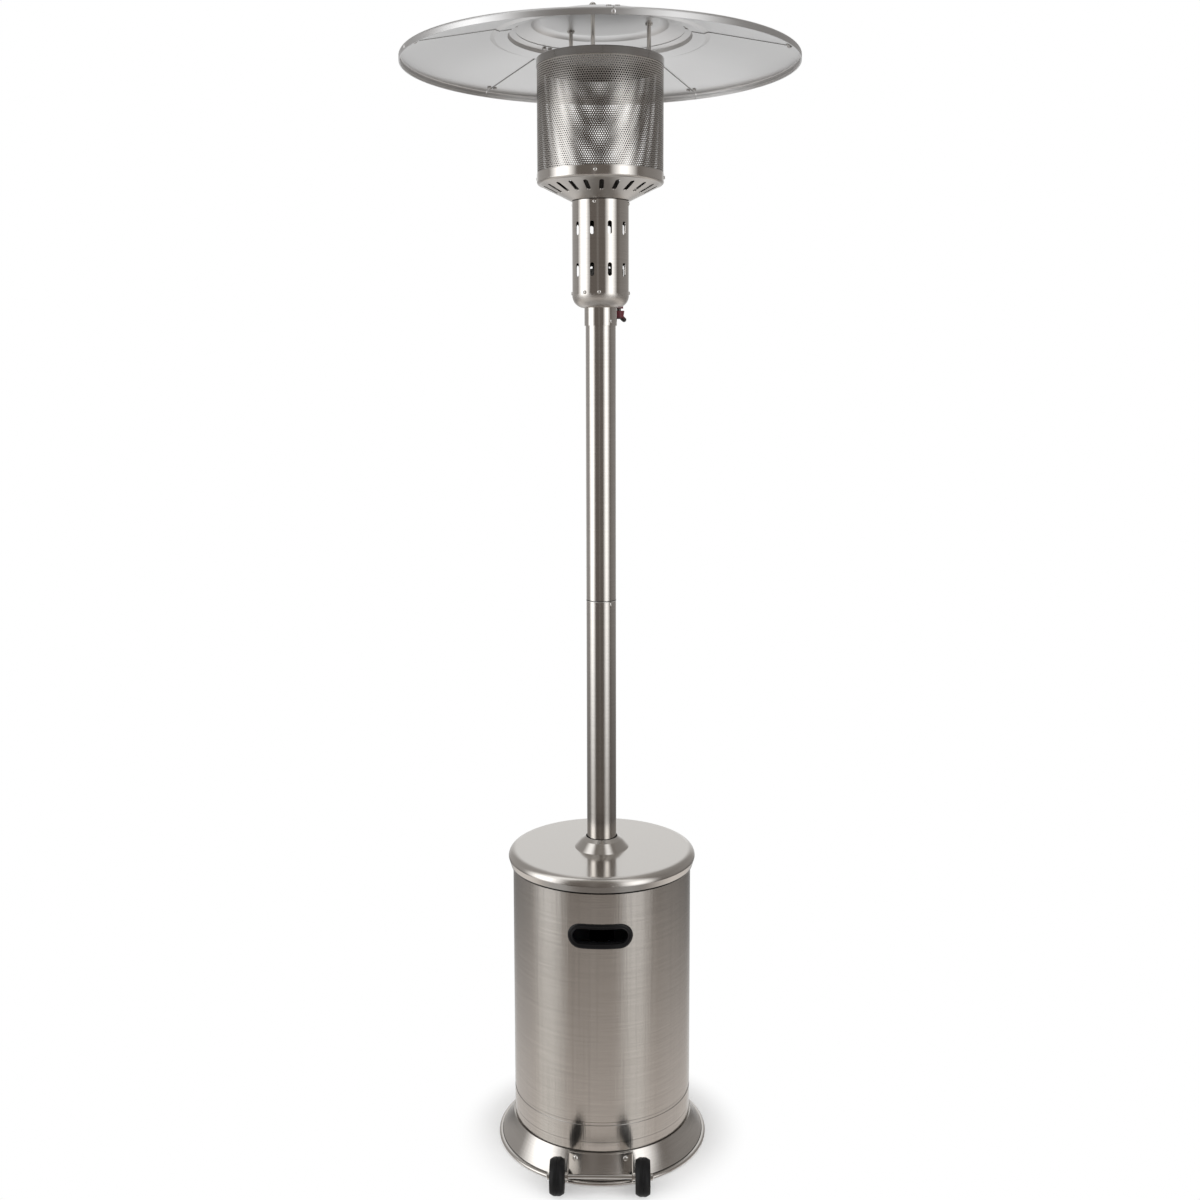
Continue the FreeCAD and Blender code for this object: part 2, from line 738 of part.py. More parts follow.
def axle_cap_nuts():
    bore = AXLE_R + SEAT
    edge = (AXLE_NUT_R, AXLE_NUT_L)
    top = (0, AXLE_NUT_L + SEAT + AXLE_NUT_CROWN)
    nut = turned([
        (0, AXLE_NUT_L + SEAT), (bore, AXLE_NUT_L + SEAT), (bore, 0), (AXLE_NUT_R, 0), edge,
        crowned(edge, top),
    ])
    return Part.makeCompound(axle_ends(nut))


def axle_spacers():
    length = WHEEL_X - WHEEL_W / 2 - CLEAR - BRACKET_X
    spacer = tube(AXLE_SPACER_R, AXLE_R + SEAT, 0, length)
    return Part.makeCompound([
        aimed(spacer, V(side * BRACKET_X, AXLE_Y, AXLE_Z), V(side, 0, 0))
        for side in (-1, 1)
    ])


def on_axle(shape, side):
    """A wheel piece made about +Z at the origin, set on the axle on one side."""
    return aimed(shape, V(side * WHEEL_X, AXLE_Y, AXLE_Z), V(side, 0, 0))


def wheel_hub(side):
    half = WHEEL_W / 2
    rim_half = half - HUB_INSET
    web_half = half - HUB_DISH
    bore = AXLE_R + RUNNING
    rim_in = HUB_R - HUB_RIM
    face = [
        (HUB_BOSS_R, half), (HUB_BOSS_R, web_half), (rim_in, web_half), (rim_in, rim_half), (HUB_R, rim_half),
    ]
    back = [(r, -z) for r, z in reversed(face)]
    return on_axle(turned([(bore, half)] + face + back + [(bore, -half)]), side)


def wheel_tyre(side):
    half = WHEEL_W / 2
    bead_r = HUB_R + SEAT
    bead = half - HUB_INSET
    shoulder_r = WHEEL_R - TREAD_BEVEL
    tread = TREAD_W / 2
    face = [(bead_r, bead), (shoulder_r, half), (WHEEL_R, tread), (WHEEL_R, TREAD_LINE)]
    back = [(r, -z) for r, z in reversed(face)]
    return on_axle(turned(face + [(WHEEL_R - TREAD_LINE, 0)] + back), side)


# Legs and pole


def support_leg(angle):
    foot_r = LEG_R - LEG_FOOT_L
    outer = LEG_R + LEG_T
    leg = outline_face([
        (foot_r, DECK_Z), (outer, DECK_Z), (outer, LEG_TOP_Z), (LEG_ARM_R, LEG_TOP_Z),
        (LEG_ARM_R, LEG_TOP_Z - LEG_T), (LEG_R, LEG_TOP_Z - LEG_T), (LEG_R, DECK_Z + LEG_T),
        (foot_r, DECK_Z + LEG_T),
    ]).extrude(V(0, LEG_W, 0))
    leg = spun(moved(leg, 0, -LEG_W / 2, 0), angle)
    foot_hole = bolt_hole(PLATE_T + LEG_T, BOLT_R, BOLT_HEAD_H)
    arm_hole = bolt_hole(LEG_T + SOCKET_FLANGE_T, BOLT_R, BOLT_HEAD_H)
    return leg.cut(set_out(foot_hole, leg_foot_places()) + set_out(arm_hole, leg_arm_places()))


def leg_bolts():
    foot = through_bolt(PLATE_T + LEG_T, BOLT_R, BOLT_HEAD_R, BOLT_HEAD_H)
    arm = through_bolt(LEG_T + SOCKET_FLANGE_T, BOLT_R, BOLT_HEAD_R, BOLT_HEAD_H)
    return Part.makeCompound(set_out(foot, leg_foot_places()) + set_out(arm, leg_arm_places()))


def pole_socket():
    hole = HOSE_R + SEAT + GROMMET_WALL + SEAT
    outer = SOCKET_R + SOCKET_WALL
    top_z = POLE_Z + SOCKET_L
    socket = turned([
        (hole, LEG_TOP_Z), (SOCKET_FLANGE_R, LEG_TOP_Z), (SOCKET_FLANGE_R, POLE_Z), (outer, POLE_Z),
        (outer, top_z), (SOCKET_R, top_z), (SOCKET_R, POLE_Z), (hole, POLE_Z),
    ])
    holes = set_out(bolt_hole(LEG_T + SOCKET_FLANGE_T, BOLT_R, BOLT_HEAD_H), leg_arm_places())
    return socket.cut(holes + set_out(screw_hole(), socket_screw_places()))


def hose_grommet():
    bore = HOSE_R + SEAT
    waist = bore + GROMMET_WALL
    lip = waist + GROMMET_LIP
    low_z = LEG_TOP_Z - GROMMET_LIP_H
    high_z = POLE_Z + GROMMET_LIP_H
    return turned([
        (bore, low_z), (lip, low_z), (lip, LEG_TOP_Z), (waist, LEG_TOP_Z), (waist, POLE_Z),
        (lip, POLE_Z), (lip, high_z), (bore, high_z),
    ])


def lower_pole():
    holes = set_out(screw_hole(), joint_screw_places() + socket_screw_places())
    return tube(POLE_R, POLE_R - POLE_T, POLE_Z, JOINT_Z).cut(holes)


def upper_pole():
    return tube(POLE_R, POLE_R - POLE_T, JOINT_Z, POLE_TOP_Z).cut(set_out(screw_hole(), neck_screw_places()))


def pole_coupler():
    low_z = JOINT_Z - COUPLER_L / 2
    high_z = JOINT_Z + COUPLER_L / 2
    sleeve = tube(COUPLER_R, COUPLER_R - COUPLER_T, low_z, high_z)
    return sleeve.cut(set_out(screw_hole(), joint_screw_places()))


def pole_screws():
    return Part.makeCompound(set_out(pan_screw(), joint_screw_places() + socket_screw_places()))


# Gas bottle and its fittings


def bottle_body(inset):
    """The bottle's body as a full solid, drawn in by inset: each end is a ball crown on a rounded knuckle."""
    low = BOTTLE_LOW_Z + inset
    high = BOTTLE_TOP_Z - inset
    radius = BOTTLE_R - inset
    knuckle = BOTTLE_KNUCKLE - inset
    crown = BOTTLE_CROWN_R - inset
    lean = math.asin((BOTTLE_R - BOTTLE_KNUCKLE) / (BOTTLE_CROWN_R - BOTTLE_KNUCKLE))
    bend = (lean + math.pi / 2) / 2
    crown_middle = (crown * math.sin(lean / 2), high - crown * (1 - math.cos(lean / 2)))
    crown_edge = (crown * math.sin(lean), high - crown * (1 - math.cos(lean)))
    knuckle_middle = (radius - knuckle * (1 - math.sin(bend)), BOTTLE_SHOULDER_Z + knuckle * math.cos(bend))

    def below(place):
        return (place[0], low + high - place[1])

    return turned([
        (0, low), below(crown_middle) + below(crown_edge), below(knuckle_middle) + (radius, BOTTLE_BODY_Z),
        (radius, BOTTLE_SHOULDER_Z), knuckle_middle + crown_edge, crown_middle + (0, high),
    ])


def dome_drop(r):
    """How far the bottle's domed end has fallen away from its crown at radius r."""
    return BOTTLE_CROWN_R - math.sqrt(BOTTLE_CROWN_R ** 2 - r ** 2)


def gas_bottle():
    ring_top_z = BOTTLE_LOW_Z + dome_drop(BOTTLE_RING_R) + BOTTLE_T / 2
    ring = tube(BOTTLE_RING_R, BOTTLE_RING_R - BOTTLE_T, DECK_Z, ring_top_z)
    guard_low_z = BOTTLE_TOP_Z - dome_drop(BOTTLE_GUARD_R) - BOTTLE_T / 2
    guard_in = BOTTLE_GUARD_R - BOTTLE_T
    guard_top_z = guard_low_z + BOTTLE_GUARD_H
    guard_outline = [
        (guard_in, guard_low_z), (BOTTLE_GUARD_R, guard_low_z),
        (BOTTLE_GUARD_R, guard_top_z), (guard_in, guard_top_z),
    ]
    guard = turned(guard_outline, REGULATOR_SIDE + BOTTLE_GUARD_OPEN / 2, FULL_TURN - BOTTLE_GUARD_OPEN)
    boss = rod(BOTTLE_BOSS_R, BOTTLE_TOP_Z - BOTTLE_T - dome_drop(BOTTLE_BOSS_R), VALVE_Z)
    bore = rod(VALVE_PLUG_R + SEAT, BOTTLE_TOP_Z - BOTTLE_BOSS_H - BOTTLE_T, VALVE_Z)
    return bottle_body(0.0).fuse([ring, guard, boss]).removeSplitter().cut([bottle_body(BOTTLE_T), bore])


def bottle_valve():
    plug = rod(VALVE_PLUG_R, BOTTLE_TOP_Z - BOTTLE_T, VALVE_Z)
    stem = rod(VALVE_STEM_R, VALVE_Z, VALVE_TOP_Z)
    pin = rod(HANDWHEEL_PIN_R, VALVE_TOP_Z, HANDWHEEL_Z + HANDWHEEL_H)
    shoulder = rod(HANDWHEEL_PIN_R + HANDWHEEL_LIFT, VALVE_TOP_Z, HANDWHEEL_Z - CLEAR)
    outlet = Part.makeCylinder(VALVE_OUTLET_R, VALVE_OUTLET_L, V(0, 0, OUTLET_Z), -ALONG_X)
    return stem.fuse([plug, pin, shoulder, outlet]).removeSplitter()


def bottle_handwheel():
    top_z = HANDWHEEL_Z + HANDWHEEL_H
    wheel = tube(HANDWHEEL_R, HANDWHEEL_PIN_R + RUNNING, HANDWHEEL_Z, top_z)
    notch = moved(rod(HANDWHEEL_GRIP_R, HANDWHEEL_Z, top_z), HANDWHEEL_R + HANDWHEEL_GRIP_R / 2, 0, 0)
    return wheel.cut([spun(notch, angle) for angle in even_angles(HANDWHEEL_GRIPS, 0.0)])


def regulator():
    half = REGULATOR_T / 2
    edge = REGULATOR_R - REGULATOR_BEVEL
    drum = turned([
        (0, -half), (edge, -half), (REGULATOR_R, REGULATOR_BEVEL - half),
        (REGULATOR_R, half - REGULATOR_BEVEL), (edge, half), (0, half),
    ])
    drum = aimed(drum, V(-REGULATOR_REACH, 0, OUTLET_Z), ALONG_Y)
    spigot = Part.makeCylinder(
        REGULATOR_SPIGOT_R, REGULATOR_REACH - VALVE_OUTLET_L, V(-REGULATOR_REACH, 0, OUTLET_Z), ALONG_X)
    tower = moved(rod(REGULATOR_TOWER_R, OUTLET_Z, HOSE_Z), -REGULATOR_REACH, 0, 0)
    barb = moved(rod(HOSE_BORE_R - SEAT, HOSE_Z, HOSE_Z + HOSE_BARB_L), -REGULATOR_REACH, 0, 0)
    return drum.fuse([spigot, tower, barb]).removeSplitter()


def regulator_nut():
    step_z = REGULATOR_NUT_L - REGULATOR_NUT_LIP
    outlet = VALVE_OUTLET_R + SEAT
    spigot = REGULATOR_SPIGOT_R + SEAT
    nut = turned([
        (outlet, 0), (REGULATOR_NUT_R, 0), (REGULATOR_NUT_R, REGULATOR_NUT_L), (spigot, REGULATOR_NUT_L),
        (spigot, step_z), (outlet, step_z),
    ])
    return aimed(nut, V(step_z - VALVE_OUTLET_L, 0, OUTLET_Z), -ALONG_X)


def hose_path():
    """From the regulator, in two equal bends to the axis, and straight up the pole."""
    low_z = HOSE_Z + HOSE_STRAIGHT
    high_z = LEG_TOP_Z - GROMMET_LIP_H
    rise = high_z - low_z
    bend_r = (REGULATOR_REACH ** 2 + rise ** 2) / (4 * REGULATOR_REACH)
    turn = 2 * math.atan(REGULATOR_REACH / rise)
    print("hose bends at radius", round(bend_r, 1), "mm, hose diameter", 2 * HOSE_R, "mm")
    start = point(-REGULATOR_REACH, HOSE_Z)
    bend_start = point(-REGULATOR_REACH, low_z)
    first_middle = bend_start + point(bend_r * (1 - math.cos(turn / 2)), bend_r * math.sin(turn / 2))
    halfway = point(-REGULATOR_REACH / 2, (low_z + high_z) / 2)
    bend_end = point(0, high_z)
    second_middle = bend_end - point(bend_r * (1 - math.cos(turn / 2)), bend_r * math.sin(turn / 2))
    edges = [
        Part.LineSegment(start, bend_start),
        Part.Arc(bend_start, first_middle, halfway),
        Part.Arc(halfway, second_middle, bend_end),
        Part.LineSegment(bend_end, point(0, HOSE_TOP_Z)),
    ]
    return Part.Wire([edge.toShape() for edge in edges])


def gas_hose():
    path = hose_path()
    start = point(-REGULATOR_REACH, HOSE_Z)
    skins = []
    for radius in (HOSE_R, HOSE_BORE_R):
        ring = Part.Wire(Part.makeCircle(radius, start, UP))
        skins.append(path.makePipeShell([ring], True, False))
    hose = skins[0].cut(skins[1])
    section = math.pi * (HOSE_R ** 2 - HOSE_BORE_R ** 2)
    share = hose.Volume / (section * path.Length)
    print("hose length", round(path.Length, 1), "mm, volume over section times length", round(share, 4))
    return hose


# Cover


def tank_housing():
    inner = HOUSING_R - SHEET
    groove_z = HOUSING_Z + GROOVE_RISE
    groove_top_z = groove_z + GROOVE_H
    steps = [(0, HOUSING_Z), (0, groove_z), (-GROOVE_DEPTH, groove_z + GROOVE_DEPTH),
             (-GROOVE_DEPTH, groove_top_z - GROOVE_DEPTH), (0, groove_top_z), (0, HOUSING_TOP_Z)]
    outside = [(HOUSING_R + step, z) for step, z in steps]
    inside = [(inner + step, z) for step, z in reversed(steps)]
    throat_l, throat_h = handle_throat(SEAT)
    return turned(outside + inside).cut(level_slot(throat_l, throat_h, RIM_R, HANDLE_Z))


def handle_throat(gap):
    """Length and height of the bezel's throat with a gap round it."""
    grow = 2 * (HANDLE_WALL + gap - HANDLE_RIM)
    return HANDLE_L + grow, HANDLE_H + grow


def handle_bezel():
    """Black frame of the hand-hold: a rim on the housing and a throat through it."""
    back = HOUSING_R + SEAT
    face = back + HANDLE_PROUD
    rim = level_slot(HANDLE_L, HANDLE_H, RIM_R, HANDLE_Z)
    rim = rim.common(tube(face, back, HANDLE_Z - HANDLE_H, HANDLE_Z + HANDLE_H))
    throat = level_slot(*handle_throat(0.0), RIM_R, HANDLE_Z)
    throat = throat.common(tube(face, HOUSING_R - HANDLE_DEPTH, HANDLE_Z - HANDLE_H, HANDLE_Z + HANDLE_H))
    opening = level_slot(HANDLE_L - 2 * HANDLE_RIM, HANDLE_H - 2 * HANDLE_RIM, RIM_R, HANDLE_Z)
    return rim.fuse(throat).removeSplitter().cut(opening)


def housing_lid():
    collar_z = LID_Z + COLLAR_H
    crest = (COLLAR_R + COLLAR_LIP, collar_z - COLLAR_LIP_DROP)
    wide_z = LID_UNDER_Z - LID_ROUND
    foot_z = wide_z - LID_SKIRT
    foot_r = LID_R - LID_TURN_IN
    inner_start = (LID_R - SHEET - LID_ROUND, LID_UNDER_Z)
    inner_wide = (LID_R - SHEET, wide_z)
    outer_wide = (LID_R, wide_z)
    outer_end = (LID_R - LID_ROUND, LID_Z)
    return turned([
        (COLLAR_R, collar_z), (COLLAR_R, collar_z - SHEET), (crest[0] - SHEET / 2, crest[1] - SHEET),
        (COLLAR_FOOT_R - SHEET, LID_UNDER_Z), inner_start, rounded(inner_start, inner_wide, -1),
        (foot_r - SHEET, foot_z), (foot_r, foot_z), outer_wide, rounded(outer_wide, outer_end),
        (COLLAR_FOOT_R, LID_Z), crest,
    ])


# Burner head


def control_sleeve():
    neck_bore = POLE_R + SEAT
    dome_start = (NECK_R, DOME_Z)
    dome_end = (SLEEVE_R, SLEEVE_Z)
    inner_start = (SLEEVE_BORE_R, SLEEVE_Z)
    inner_end = (NECK_R, DOME_Z + SHEET)
    shell = turned([
        (neck_bore, NECK_Z), (NECK_R, NECK_Z), dome_start, bowed(dome_start, dome_end, DOME_BOW),
        (SLEEVE_R, SLEEVE_TOP_Z), (SLEEVE_BORE_R, SLEEVE_TOP_Z), inner_start,
        bowed(inner_start, inner_end, -DOME_BOW), (neck_bore, DOME_Z + SHEET),
    ])
    cutters = set_out(
        screw_hole(), neck_screw_places() + sleeve_low_screw_places() + sleeve_top_screw_places())
    for z in (SLEEVE_Z + SLOT_ROW_RISE, SLEEVE_Z + SLOT_ROW_RISE + SLOT_ROW_STEP):
        slot = upright_slot(SLOT_L, SLOT_W, 2 * SLEEVE_R, z)
        cutters += [spun(slot, angle) for angle in even_angles(SLOT_COUNT, SLOT_ANGLE)]
    cutters.append(moved(rod(SPINDLE_R + SPINDLE_GAP, NECK_Z, SLEEVE_Z), SPINDLE_X, SPINDLE_Y, 0))
    return shell.cut(cutters)


def sleeve_screws():
    places = neck_screw_places() + sleeve_low_screw_places() + sleeve_top_screw_places()
    return Part.makeCompound(set_out(pan_screw(), places))


def burner_dish():
    collar_in = DISH_COLLAR_R - SHEET
    cone_r = SLEEVE_R + DISH_LEDGE
    low_z = DISH_Z - DISH_COLLAR_L
    high_z = DISH_WALL_Z + DISH_WALL
    corner = (DISH_R - DISH_CORNER, DISH_CORNER_Z)
    wall = (DISH_R, DISH_WALL_Z)
    inner_wall = (DISH_R - SHEET, DISH_WALL_Z)
    inner_corner = (DISH_R - DISH_CORNER - SHEET / 2, DISH_CORNER_Z + SHEET)
    shell = turned([
        (collar_in, low_z), (DISH_COLLAR_R, low_z), (DISH_COLLAR_R, DISH_Z), (cone_r, DISH_Z), corner,
        rounded(corner, wall), (DISH_R, high_z), (DISH_R - SHEET, high_z), inner_wall,
        rounded(inner_wall, inner_corner, -1), (cone_r - SHEET / 2, DISH_Z + SHEET),
        (collar_in, DISH_Z + SHEET),
    ])
    slot = moved(obround(DISH_SLOT_L, DISH_SLOT_W, DISH_RISE + DISH_CORNER), DISH_SLOT_R, 0, DISH_Z)
    cutters = [spun(slot, angle) for angle in even_angles(DISH_SLOTS, FRONT + DISH_SLOT_TURN)]
    return shell.cut(cutters + set_out(screw_hole(), sleeve_top_screw_places() + dish_screw_places()))


def emitter_screen():
    drum = tube(EMITTER_R, EMITTER_R - SHEET, EMITTER_Z, EMITTER_TOP_Z)
    return drum.cut(set_out(screw_hole(), dish_screw_places()))


def emitter_cap():
    skirt_z = CAP_TOP_Z - CAP_SKIRT
    shoulder = (DISH_R, CAP_Z)
    top = (DISH_R - CAP_T, CAP_TOP_Z)
    cap = turned([
        (0, CAP_Z), (EMITTER_R + SEAT, CAP_Z), (EMITTER_R + SEAT, skirt_z), (DISH_R, skirt_z), shoulder,
        rounded(shoulder, top), (0, CAP_TOP_Z),
    ])
    return cap.cut(set_out(rod(STUD_R + SEAT, -CAP_T, 2 * CAP_T), stud_places(CAP_Z)))


def emitter_screws():
    return Part.makeCompound(set_out(pan_screw(), dish_screw_places()))


# Gas train inside the sleeve


def valve_bracket():
    outer = SLEEVE_BORE_R - SEAT
    inner = outer - SHEET
    low_z = SLEEVE_Z + CLEAR
    high_z = BRACKET_Z + SHEET
    plate = turned([
        (0, BRACKET_Z), (inner, BRACKET_Z), (inner, low_z), (outer, low_z), (outer, high_z), (0, high_z),
    ])
    inlet = rod(GAS_INLET_R + CLEAR, low_z, high_z)
    boss = moved(rod(SPINDLE_BOSS_R + CLEAR, low_z, high_z), SPINDLE_X, SPINDLE_Y, 0)
    return plate.cut([inlet, boss] + set_out(screw_hole(), sleeve_low_screw_places()))


def gas_valve():
    length = GAS_VALVE_BACK + GAS_VALVE_FRONT
    body = Part.makeBox(length, GAS_VALVE_W, GAS_VALVE_H, V(-GAS_VALVE_BACK, -GAS_VALVE_W / 2, GAS_VALVE_Z))
    body = spun(body, SPINDLE_ANGLE)
    boss_low_z = GAS_VALVE_Z - SPINDLE_BOSS_L
    bore_top_z = GAS_VALVE_Z + SPINDLE_DEPTH
    boss = moved(rod(SPINDLE_BOSS_R, boss_low_z, bore_top_z + SPINDLE_R), SPINDLE_X, SPINDLE_Y, 0)
    inlet = rod(GAS_INLET_R, HOSE_TOP_Z, GAS_VALVE_Z)
    barb = rod(HOSE_BORE_R - SEAT, HOSE_TOP_Z - HOSE_BARB_L, HOSE_TOP_Z)
    bore = moved(rod(SPINDLE_R + RUNNING, boss_low_z, bore_top_z), SPINDLE_X, SPINDLE_Y, 0)
    return body.fuse([boss, inlet, barb]).removeSplitter().cut(bore)


def valve_spindle():
    low_z = KNOB_TOP_Z - KNOB_BORE_L + KNOB_TRAVEL + CLEAR
    return moved(rod(SPINDLE_R, low_z, GAS_VALVE_Z + SPINDLE_DEPTH - CLEAR), SPINDLE_X, SPINDLE_Y, 0)


def control_knob():
    tip_z = KNOB_TOP_Z - KNOB_H
    hub = turned([(0, tip_z), (KNOB_TIP_R, tip_z), (KNOB_R, KNOB_TOP_Z), (0, KNOB_TOP_Z)])
    root = V(0, 0, KNOB_TOP_Z - KNOB_H / 2)
    tip = V(KNOB_GRIP_REACH, 0, KNOB_TOP_Z - KNOB_GRIP_DROP)
    arm = Part.makeCylinder(KNOB_GRIP_R, root.distanceToPoint(tip), root, tip - root)
    end = Part.makeSphere(KNOB_GRIP_R, tip)
    bore = rod(SPINDLE_R + RUNNING, KNOB_TOP_Z - KNOB_BORE_L, KNOB_TOP_Z)
    knob = hub.fuse([arm, end]).removeSplitter().cut(bore)
    return moved(knob, SPINDLE_X, SPINDLE_Y, 0)


def gas_jet():
    flange = hexagon(JET_FLANGE_R, GAS_VALVE_TOP_Z, MIXER_Z)
    nozzle = rod(JET_R, MIXER_Z, MIXER_Z + JET_L)
    return flange.fuse(nozzle).removeSplitter()


def mixer_tube():
    pipe = tube(MIXER_R, MIXER_R - MIXER_T, MIXER_Z, BURNER_Z + BURNER_NECK_L - BURNER_LIP)
    window = upright_slot(MIXER_WINDOW_H, MIXER_WINDOW_W, 2 * MIXER_R, MIXER_Z + MIXER_WINDOW_RISE)
    return pipe.cut([window, spun(window, HALF_TURN)])


def burner_head():
    bore = MIXER_R + SEAT
    neck = bore + BURNER_T
    inner = BURNER_R - BURNER_T
    flange_r = DISH_COLLAR_R + SHEET
    flange_z = BURNER_Z + BURNER_T
    cup_z = BURNER_Z + BURNER_NECK_L
    top_z = BURNER_Z + BURNER_H
    head = turned([
        (bore, BURNER_Z), (flange_r, BURNER_Z), (flange_r, flange_z), (neck, flange_z), (neck, cup_z),
        (BURNER_R, cup_z), (BURNER_R, top_z), (0, top_z), (0, top_z - BURNER_T), (inner, top_z - BURNER_T),
        (inner, cup_z + BURNER_T), (bore, cup_z + BURNER_T),
    ])
    port = Part.makeCylinder(BURNER_PORT_R, 2 * BURNER_R, V(0, 0, top_z - BURNER_PORT_DROP), ALONG_X)
    holes = [moved(rod(PILOT_R + SEAT, BURNER_Z, flange_z), place.x, place.y, 0) for place in probe_places()]
    return head.cut([spun(port, angle) for angle in even_angles(BURNER_PORTS, 0.0)] + holes)


def probe(angle, radius, up):
    """Pilot, thermocouple or electrode: a shank through the burner's flange, a nut and a thinner tip."""
    low_z = BURNER_Z - PROBE_DOWN
    flange_z = BURNER_Z + BURNER_T
    shank = rod(PILOT_R, low_z, flange_z + PROBE_NUT_H)
    nut = hexagon(PROBE_NUT_R, flange_z, flange_z + PROBE_NUT_H)
    tip = rod(radius, flange_z, flange_z + up)
    place = polar(PROBE_CIRCLE_R, angle, 0)
    return moved(shank.fuse([nut, tip]).removeSplitter(), place.x, place.y, 0)


def piezo_igniter():
    body = rod(PIEZO_R, GAS_VALVE_Z, GAS_VALVE_TOP_Z)
    return spun(moved(body, 0, GAS_VALVE_W / 2 + PIEZO_R, 0), SPINDLE_ANGLE)


def tilt_switch():
    corner = V(-TILT_BOX_L / 2, -GAS_VALVE_W / 2 - TILT_BOX_W, GAS_VALVE_Z)
    return spun(Part.makeBox(TILT_BOX_L, TILT_BOX_W, TILT_BOX_H, corner), SPINDLE_ANGLE)


# Reflector


def reflector_studs():
    length = DISC_TOP_Z + WASHER_T + CAP_NUT_H / 2 - CAP_Z
    return Part.makeCompound(set_out(rod(STUD_R, -NUT_H - SHEET, length), stud_places(CAP_Z)))


def stud_nuts():
    nut = hexagon(NUT_R, 0, NUT_H).cut(rod(STUD_R + SEAT, 0, NUT_H))
    washer = tube(WASHER_R, STUD_R + SEAT, 0, WASHER_T)
    pieces = []
    for z in (CAP_Z - NUT_H, CAP_TOP_Z, DISC_Z - WASHER_T - NUT_H):
        pieces += set_out(nut, stud_places(z))
    for z in (DISC_Z - WASHER_T, DISC_TOP_Z):
        pieces += set_out(washer, stud_places(z))
    return Part.makeCompound(pieces)


def cap_nuts():
    bore = STUD_R + SEAT
    depth = CAP_NUT_H / 2 + SEAT
    hexed = hexagon(NUT_R, 0, CAP_NUT_H / 2)
    edge = (NUT_R * math.cos(math.pi / HEX_SIDES), CAP_NUT_H / 2)
    crown = (0, CAP_NUT_H)
    dome = turned([(0, CAP_NUT_H / 2), edge, crowned(edge, crown)])
    nut = hexed.fuse(dome).removeSplitter().cut(rod(bore, 0, depth))
    return Part.makeCompound(set_out(nut, stud_places(DISC_TOP_Z + WASHER_T)))


def reflector_disc():
    flat = (DISC_FLAT_R, DISC_Z)
    step = (DISC_STEP_R, disc_under(DISC_STEP_R))
    edge = (DISC_R, disc_under(DISC_R))
    rise = SHEET * math.hypot(1, DISC_SLOPE)
    top_flat = (DISC_FLAT_R, DISC_TOP_Z)
    top_step = (DISC_STEP_R, step[1] + rise)
    disc = turned([
        (0, DISC_Z), flat, bowed(flat, step, -DISC_STEP_BOW), edge, (DISC_R, edge[1] + rise), top_step,
        bowed(top_step, top_flat, DISC_STEP_BOW), (0, DISC_TOP_Z),
    ])
    bolts = Part.makeCompound(inner_seam_bolts(bolt_hole(2 * SHEET + SEAT, PETAL_BOLT_R, PETAL_BOLT_HEAD_H)))
    cutters = [spun(bolts, angle) for angle in even_angles(PETALS, PETAL_SEAM_ANGLE)]
    return disc.cut(cutters + set_out(rod(STUD_R + SEAT, -SHEET, 2 * SHEET), stud_places(DISC_Z)))


def reflector_petal(index):
    """One petal of the reflector, made between two seams from angle 0, then turned to its place."""
    step = FULL_TURN / PETALS
    gap = math.degrees(SEAM_GAP / REFLECTOR_R)
    corner_r = REFLECTOR_R - RIM_CORNER
    rise = SHEET * math.hypot(1, PETAL_SLOPE)
    corner = (corner_r, petal_under(corner_r))
    under = petal_line() + [corner]
    lip_z = corner[1] - RIM_ROUND_H
    hem_z = lip_z - RIM_LIP
    lip_r = REFLECTOR_R - SHEET
    top_corner = (corner_r, corner[1] + rise)
    petal = turned(
        under + [
            bowed(corner, (lip_r, lip_z), -RIM_BOW), (lip_r, hem_z + HEM_H), (lip_r - HEM_T, hem_z + HEM_H),
            (lip_r - HEM_T, hem_z), (REFLECTOR_R, hem_z), (REFLECTOR_R, lip_z),
            bowed((REFLECTOR_R, lip_z), top_corner, RIM_BOW),
        ] + raised(under, SHEET)[-2::-1],
        gap / 2, step - gap,
    )
    inner_hole = bolt_hole(2 * SHEET + SEAT, PETAL_BOLT_R, PETAL_BOLT_HEAD_H)
    holes = Part.makeCompound(inner_seam_bolts(inner_hole) + rim_seam_bolts(inner_hole))
    return spun(petal.cut([holes, spun(holes, step)]), PETAL_SEAM_ANGLE + index * step)


def seam_plates():
    """Small plates on top of the petals that bridge each seam at the rim."""
    r = REFLECTOR_R - RIM_BOLT_INSET
    corner = V(-SEAM_PLATE_W / 2, -SEAM_PLATE_L / 2, SHEET + SEAT)
    plate = Part.makeBox(SEAM_PLATE_W, SEAM_PLATE_L, SEAM_PLATE_T, corner)
    plate = aimed(plate, V(r, 0, petal_under(r)), V(PETAL_SLOPE, 0, 1))
    plate = plate.cut(rim_seam_bolts(bolt_hole(SHEET + SEAM_PLATE_T, PETAL_BOLT_R, PETAL_BOLT_HEAD_H)))
    return Part.makeCompound([spun(plate, angle) for angle in even_angles(PETALS, PETAL_SEAM_ANGLE)])


def petal_bolts():
    inner = through_bolt(2 * SHEET + 3 * SEAT, PETAL_BOLT_R, PETAL_BOLT_HEAD_R, PETAL_BOLT_HEAD_H)
    outer = through_bolt(SHEET + 3 * SEAT + SEAM_PLATE_T, PETAL_BOLT_R, PETAL_BOLT_HEAD_R, PETAL_BOLT_HEAD_H)
    seam = inner_seam_bolts(moved(inner, 0, 0, -SEAT)) + rim_seam_bolts(moved(outer, 0, 0, -SEAT))
    return Part.makeCompound([
        spun(bolt, angle)
        for angle in even_angles(PETALS, PETAL_SEAM_ANGLE)
        for bolt in seam
    ])


